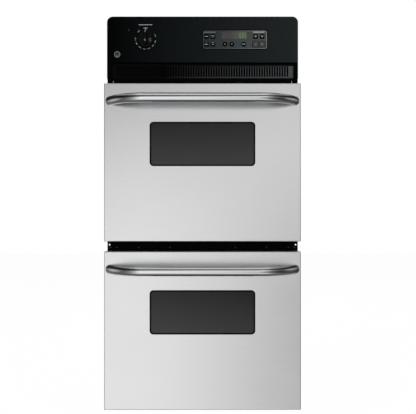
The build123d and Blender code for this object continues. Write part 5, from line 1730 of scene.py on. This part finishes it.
@dataclass
class LouvreShields:
    """Folded plates inside the case's louvres, which let air pass at two ends and no daylight through.

    Attributes:
        gap: Distance of a plate from the panel that carries it.
        margin: How far a plate reaches past its louvres.
        case_sheet: Sheet thickness of the panels.
        sheet: Sheet thickness of a plate.
        back_z: Middle height of the upper louvres in the back.
        back_size: Width and height that they take up.
        top_y: Middle of the louvres in the top along Y.
        top_size: What they take up along X and Y.
        side_middle: Middle of a side's louvres along Y and Z.
        side_size: What they take up along Y and Z.
    """

    gap: float = 14 * MM
    margin: float = 12 * MM
    case_sheet: float = 1.2 * MM
    sheet: float = 0.8 * MM
    back_z: float = 1117.5 * MM
    back_size: Span = (228 * MM, 75 * MM)
    top_y: float = 196.5 * MM
    top_size: Span = (300 * MM, 103 * MM)
    side_middle: Span = (75 * MM, 1119.5 * MM)
    side_size: Span = (150 * MM, 61 * MM)

    def build(self) -> None:
        """Make one plate for the back, one for the top and one for each side."""
        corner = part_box("top_panel")[1]
        self.plate("back_shield", self.back_size, (0.0, corner.y - self.case_sheet, self.back_z), 0.0, "Z")
        self.plate("top_shield", self.top_size, (0.0, self.top_y, corner.z - self.case_sheet), QUARTER, "X")
        for side, way in (("left", -1), ("right", 1)):
            place = (way * corner.x, *self.side_middle)
            self.plate(f"{side}_shield", self.side_size, place, -way * QUARTER, "Z")

    def plate(self, name: str, size: Span, place: Place, turn: float, axis: str) -> None:
        """One plate with two folded ends that meet the panel.

        Args:
            name: The piece's name.
            size: What the louvres take up.
            place: The middle of the louvres on the panel's inner face.
            turn: How far the plate is turned from facing along Y.
            axis: The axis that it is turned about.
        """
        width, height = (length + 2 * self.margin for length in size)
        piece = add_plate(name, (0.0, -self.gap, 0.0), width, height)
        with editing(piece):
            pick(piece, Part.EDGES, lambda middle, normal: abs(middle.x) > 0.49 * width)
            draw_out((0.0, self.gap, 0.0))
        modify(piece, "SOLIDIFY", thickness=self.sheet, offset=0.0)
        piece.data.transform(Matrix.Translation(place) @ Matrix.Rotation(turn, 4, axis))
        dress(piece, "chassis", SLOT_FINISHES["galvanised"])


@dataclass
class Studio:
    """The camera, the soft lights, the pale floor and the low plinth under the oven.

    Attributes:
        eye: Where the camera stands, level and looking along +Y.
        lens: Its focal length in millimetres.
        sensor: Width of its sensor in millimetres.
        floor_size: Length of the floor's sides.
        plinth: Height of the plinth, which leaves room for the lower door when it is open.
        plinth_setback: How far the plinth's front is behind that of the oven's base.
        plinth_gap: How far the plinth's top is under the base.
        paper_white: How much light the floor's paper throws back.
        paper_roughness: How dull that paper is.
        glow: How much of the floor's white is its own, as the camera sees it.
        ambient: Strength of the plain light from all round.
        mirrored: What metal and glass mirror: degrees above the horizon, and how bright it is there.
        slant: How much brighter the upper right and lower left of that are than the other two corners.
        slant_level: Where the slant has no effect, as a share of straight up.
        slant_range: The least and most that the slant makes of a tone.
        slant_heights: Where the slant begins to fade and where it is gone, as shares of straight up or down.
        sides: What is left of a tone to the left and right, by shares of straight sideways.
        lamps: Each lamp's name, place, length of its side, and power in watts.
        aim: Where the lamps look.
    """

    eye: Place = (17 * MM, -2083.6 * MM, 626.8 * MM)
    lens: float = 49.44
    sensor: float = 36.0
    floor_size: float = 14.0
    plinth: float = 120 * MM
    plinth_setback: float = 20 * MM
    plinth_gap: float = 0.2 * MM
    paper_white: float = 0.95
    paper_roughness: float = 0.9
    glow: float = 0.96
    ambient: float = 0.55
    mirrored: tuple[Span, ...] = (
        (-90, 0.04), (-66, 0.06), (-54, 0.45), (-42, 0.90), (0, 1.0), (12, 0.95), (19, 0.40), (25, 0.06),
        (37, 0.06), (43, 0.60), (48, 1.0), (56, 1.0), (62, 0.45), (70, 0.45), (76, 0.70), (80, 0.60),
        (85, 0.10), (90, 0.03),
    )
    slant: float = 14.0
    slant_level: float = 0.08
    slant_range: Span = (0.35, 1.3)
    slant_heights: Span = (0.20, 0.55)
    sides: tuple[Span, ...] = (
        (0.0, 1.0), (0.22, 1.0), (0.34, 0.85), (0.45, 0.55),
        (0.60, 0.28), (0.80, 0.12), (0.90, 0.15), (1.0, 0.50),
    )
    lamps: tuple[tuple[str, Place, float, float], ...] = (
        ("key_lamp", (-2.3, -2.6, 2.5), 2.2, 62.0),
        ("fill_lamp", (2.6, -2.0, 1.6), 1.8, 26.0),
        ("top_lamp", (0.0, -0.6, 3.4), 2.0, 30.0),
        ("back_lamp", (0.8, 3.0, 2.4), 2.0, 30.0),
    )
    aim: Place = (0.0, -0.2, 0.62)

    def build(self) -> None:
        """Set up everything round the oven."""
        bpy.context.scene.view_settings.view_transform = "Standard"
        self.camera()
        for name, place, size, power in self.lamps:
            self.lamp(name, place, size, power)
        self.surroundings()
        self.floor()

    def camera(self) -> None:
        """The camera of the photograph."""
        bpy.ops.object.camera_add(location=self.eye, rotation=UPRIGHT)
        camera = bpy.context.object
        camera.name = "camera"
        camera.data.lens = self.lens
        camera.data.sensor_width = self.sensor
        bpy.context.scene.camera = camera

    def lamp(self, name: str, place: Place, size: float, power: float) -> None:
        """One square soft light that looks at the oven.

        Args:
            name: Its name.
            place: Where it stands.
            size: Length of its side.
            power: Its power in watts.
        """
        bpy.ops.object.light_add(type="AREA", location=place)
        lamp = bpy.context.object
        lamp.name = name
        lamp.data.shape = "SQUARE"
        lamp.data.size = size
        lamp.data.energy = power
        lamp.visible_glossy = False
        lamp.rotation_euler = (Vector(self.aim) - Vector(place)).to_track_quat("-Z", "Y").to_euler()

    def surroundings(self) -> None:
        """White to the camera and through glass, a banded studio to mirrors, and else a plain soft light."""
        world = bpy.data.worlds.new("studio")
        bpy.context.scene.world = world
        world.use_nodes = True
        bench = Bench(world.node_tree)
        bench.tree.nodes.clear()
        shades = [bench.add("Background") for _ in range(3)]
        plain, room, white = (shade.outputs[0] for shade in shades)
        for shade, strength in zip(shades, (self.ambient, 1.0, 1.0)):
            shade.inputs["Color"].default_value = (1.0, 1.0, 1.0, 1.0)
            shade.inputs["Strength"].default_value = strength
        bench.feed(shades[1].inputs["Color"], self.mirrored_room(bench))
        rays = bench.add("LightPath").outputs
        seen = plain
        for ray, shade in (("Is Transmission Ray", white), ("Glossy Depth", room), ("Is Camera Ray", white)):
            seen = bench.mixed(rays[ray], seen, shade)
        bench.feed(bench.add("OutputWorld").inputs[0], seen)

    def mirrored_room(self, bench: Bench) -> Socket:
        """The studio's bands by height above the horizon, slanted and darker to the sides.

        Args:
            bench: The world's node tree.

        Returns:
            The tone in each direction.
        """
        across, _, up = bench.split(bench.add("TexCoord").outputs["Generated"])
        height = bench.step("ADD", bench.step("DIVIDE", bench.step("ARCSINE", up), math.pi), 0.5)
        tone = bench.banded(height, ((degrees / 180 + 0.5, tone) for degrees, tone in self.mirrored))
        aside = bench.banded(bench.step("ABSOLUTE", across), self.sides)
        corner = bench.step("MULTIPLY", across, bench.step("SUBTRACT", up, self.slant_level))
        fade = bench.ranged(bench.step("ABSOLUTE", up), self.slant_heights, (self.slant, 0.0), smooth=True)
        lean = bench.step("ADD", bench.step("MULTIPLY", corner, fade), 1.0)
        least, most = self.slant_range
        lean = bench.step("MINIMUM", bench.step("MAXIMUM", lean, least), most)
        return bench.step("MULTIPLY", bench.step("MULTIPLY", tone, lean), aside)

    def floor(self) -> None:
        """A wide pale floor and the plinth, which keep a faint shadow of the oven."""
        bpy.ops.object.select_all(action="DESELECT")
        bpy.ops.mesh.primitive_plane_add(size=self.floor_size, location=(0.0, 0.0, -self.plinth))
        floor = settle("floor")
        low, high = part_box("deck_pans")
        block = add_block("plinth", (low.x, low.y + self.plinth_setback, -self.plinth),
                          (high.x, high.y, low.z - self.plinth_gap))
        paper = self.paper()
        for thing in (floor, block):
            thing.data.materials.append(paper)
            thing.visible_glossy = False

    def paper(self) -> bpy.types.Material:
        """White paper that is partly its own light where the camera sees it, through glass too.

        Returns:
            The material.
        """
        made = bpy.data.materials.new("paper")
        made.use_nodes = True
        bench = Bench(made.node_tree)
        matt = bench.tree.nodes["Principled BSDF"]
        matt.inputs["Base Color"].default_value = (*grey(self.paper_white), 1.0)
        matt.inputs["Roughness"].default_value = self.paper_roughness
        rays = bench.add("LightPath").outputs
        seen = bench.step("MAXIMUM", rays["Is Camera Ray"], rays["Is Transmission Ray"])
        own = bench.add("Emission").outputs[0]
        surface = bench.mixed(bench.step("MULTIPLY", seen, self.glow), matt.outputs[0], own)
        bench.feed(bench.tree.nodes["Material Output"].inputs[0], surface)
        return made


def main() -> None:
    """Build every sub-assembly in order."""
    logging.basicConfig(level=logging.INFO, format="%(message)s")
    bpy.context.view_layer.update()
    Studio().build()
    PackedNodes().dress()
    blankets, seals = [], []
    for oven, floor in OVEN_FLOORS.items():
        Door(oven).build()
        blanket, seal = OvenCavity(oven, floor).build()
        blankets.append(blanket)
        seals.append(seal)
    for pieces, node in ((blankets, "insulation_blankets"), (seals, "door_gaskets")):
        for piece in pieces:
            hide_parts(node)
    for assembly in (DialPrint(), FasciaDetails(), KeyPad(), StripScrews(), BackScrews(), LouvreShields()):
        assembly.build()


if __name__ == "__main__":
    main()
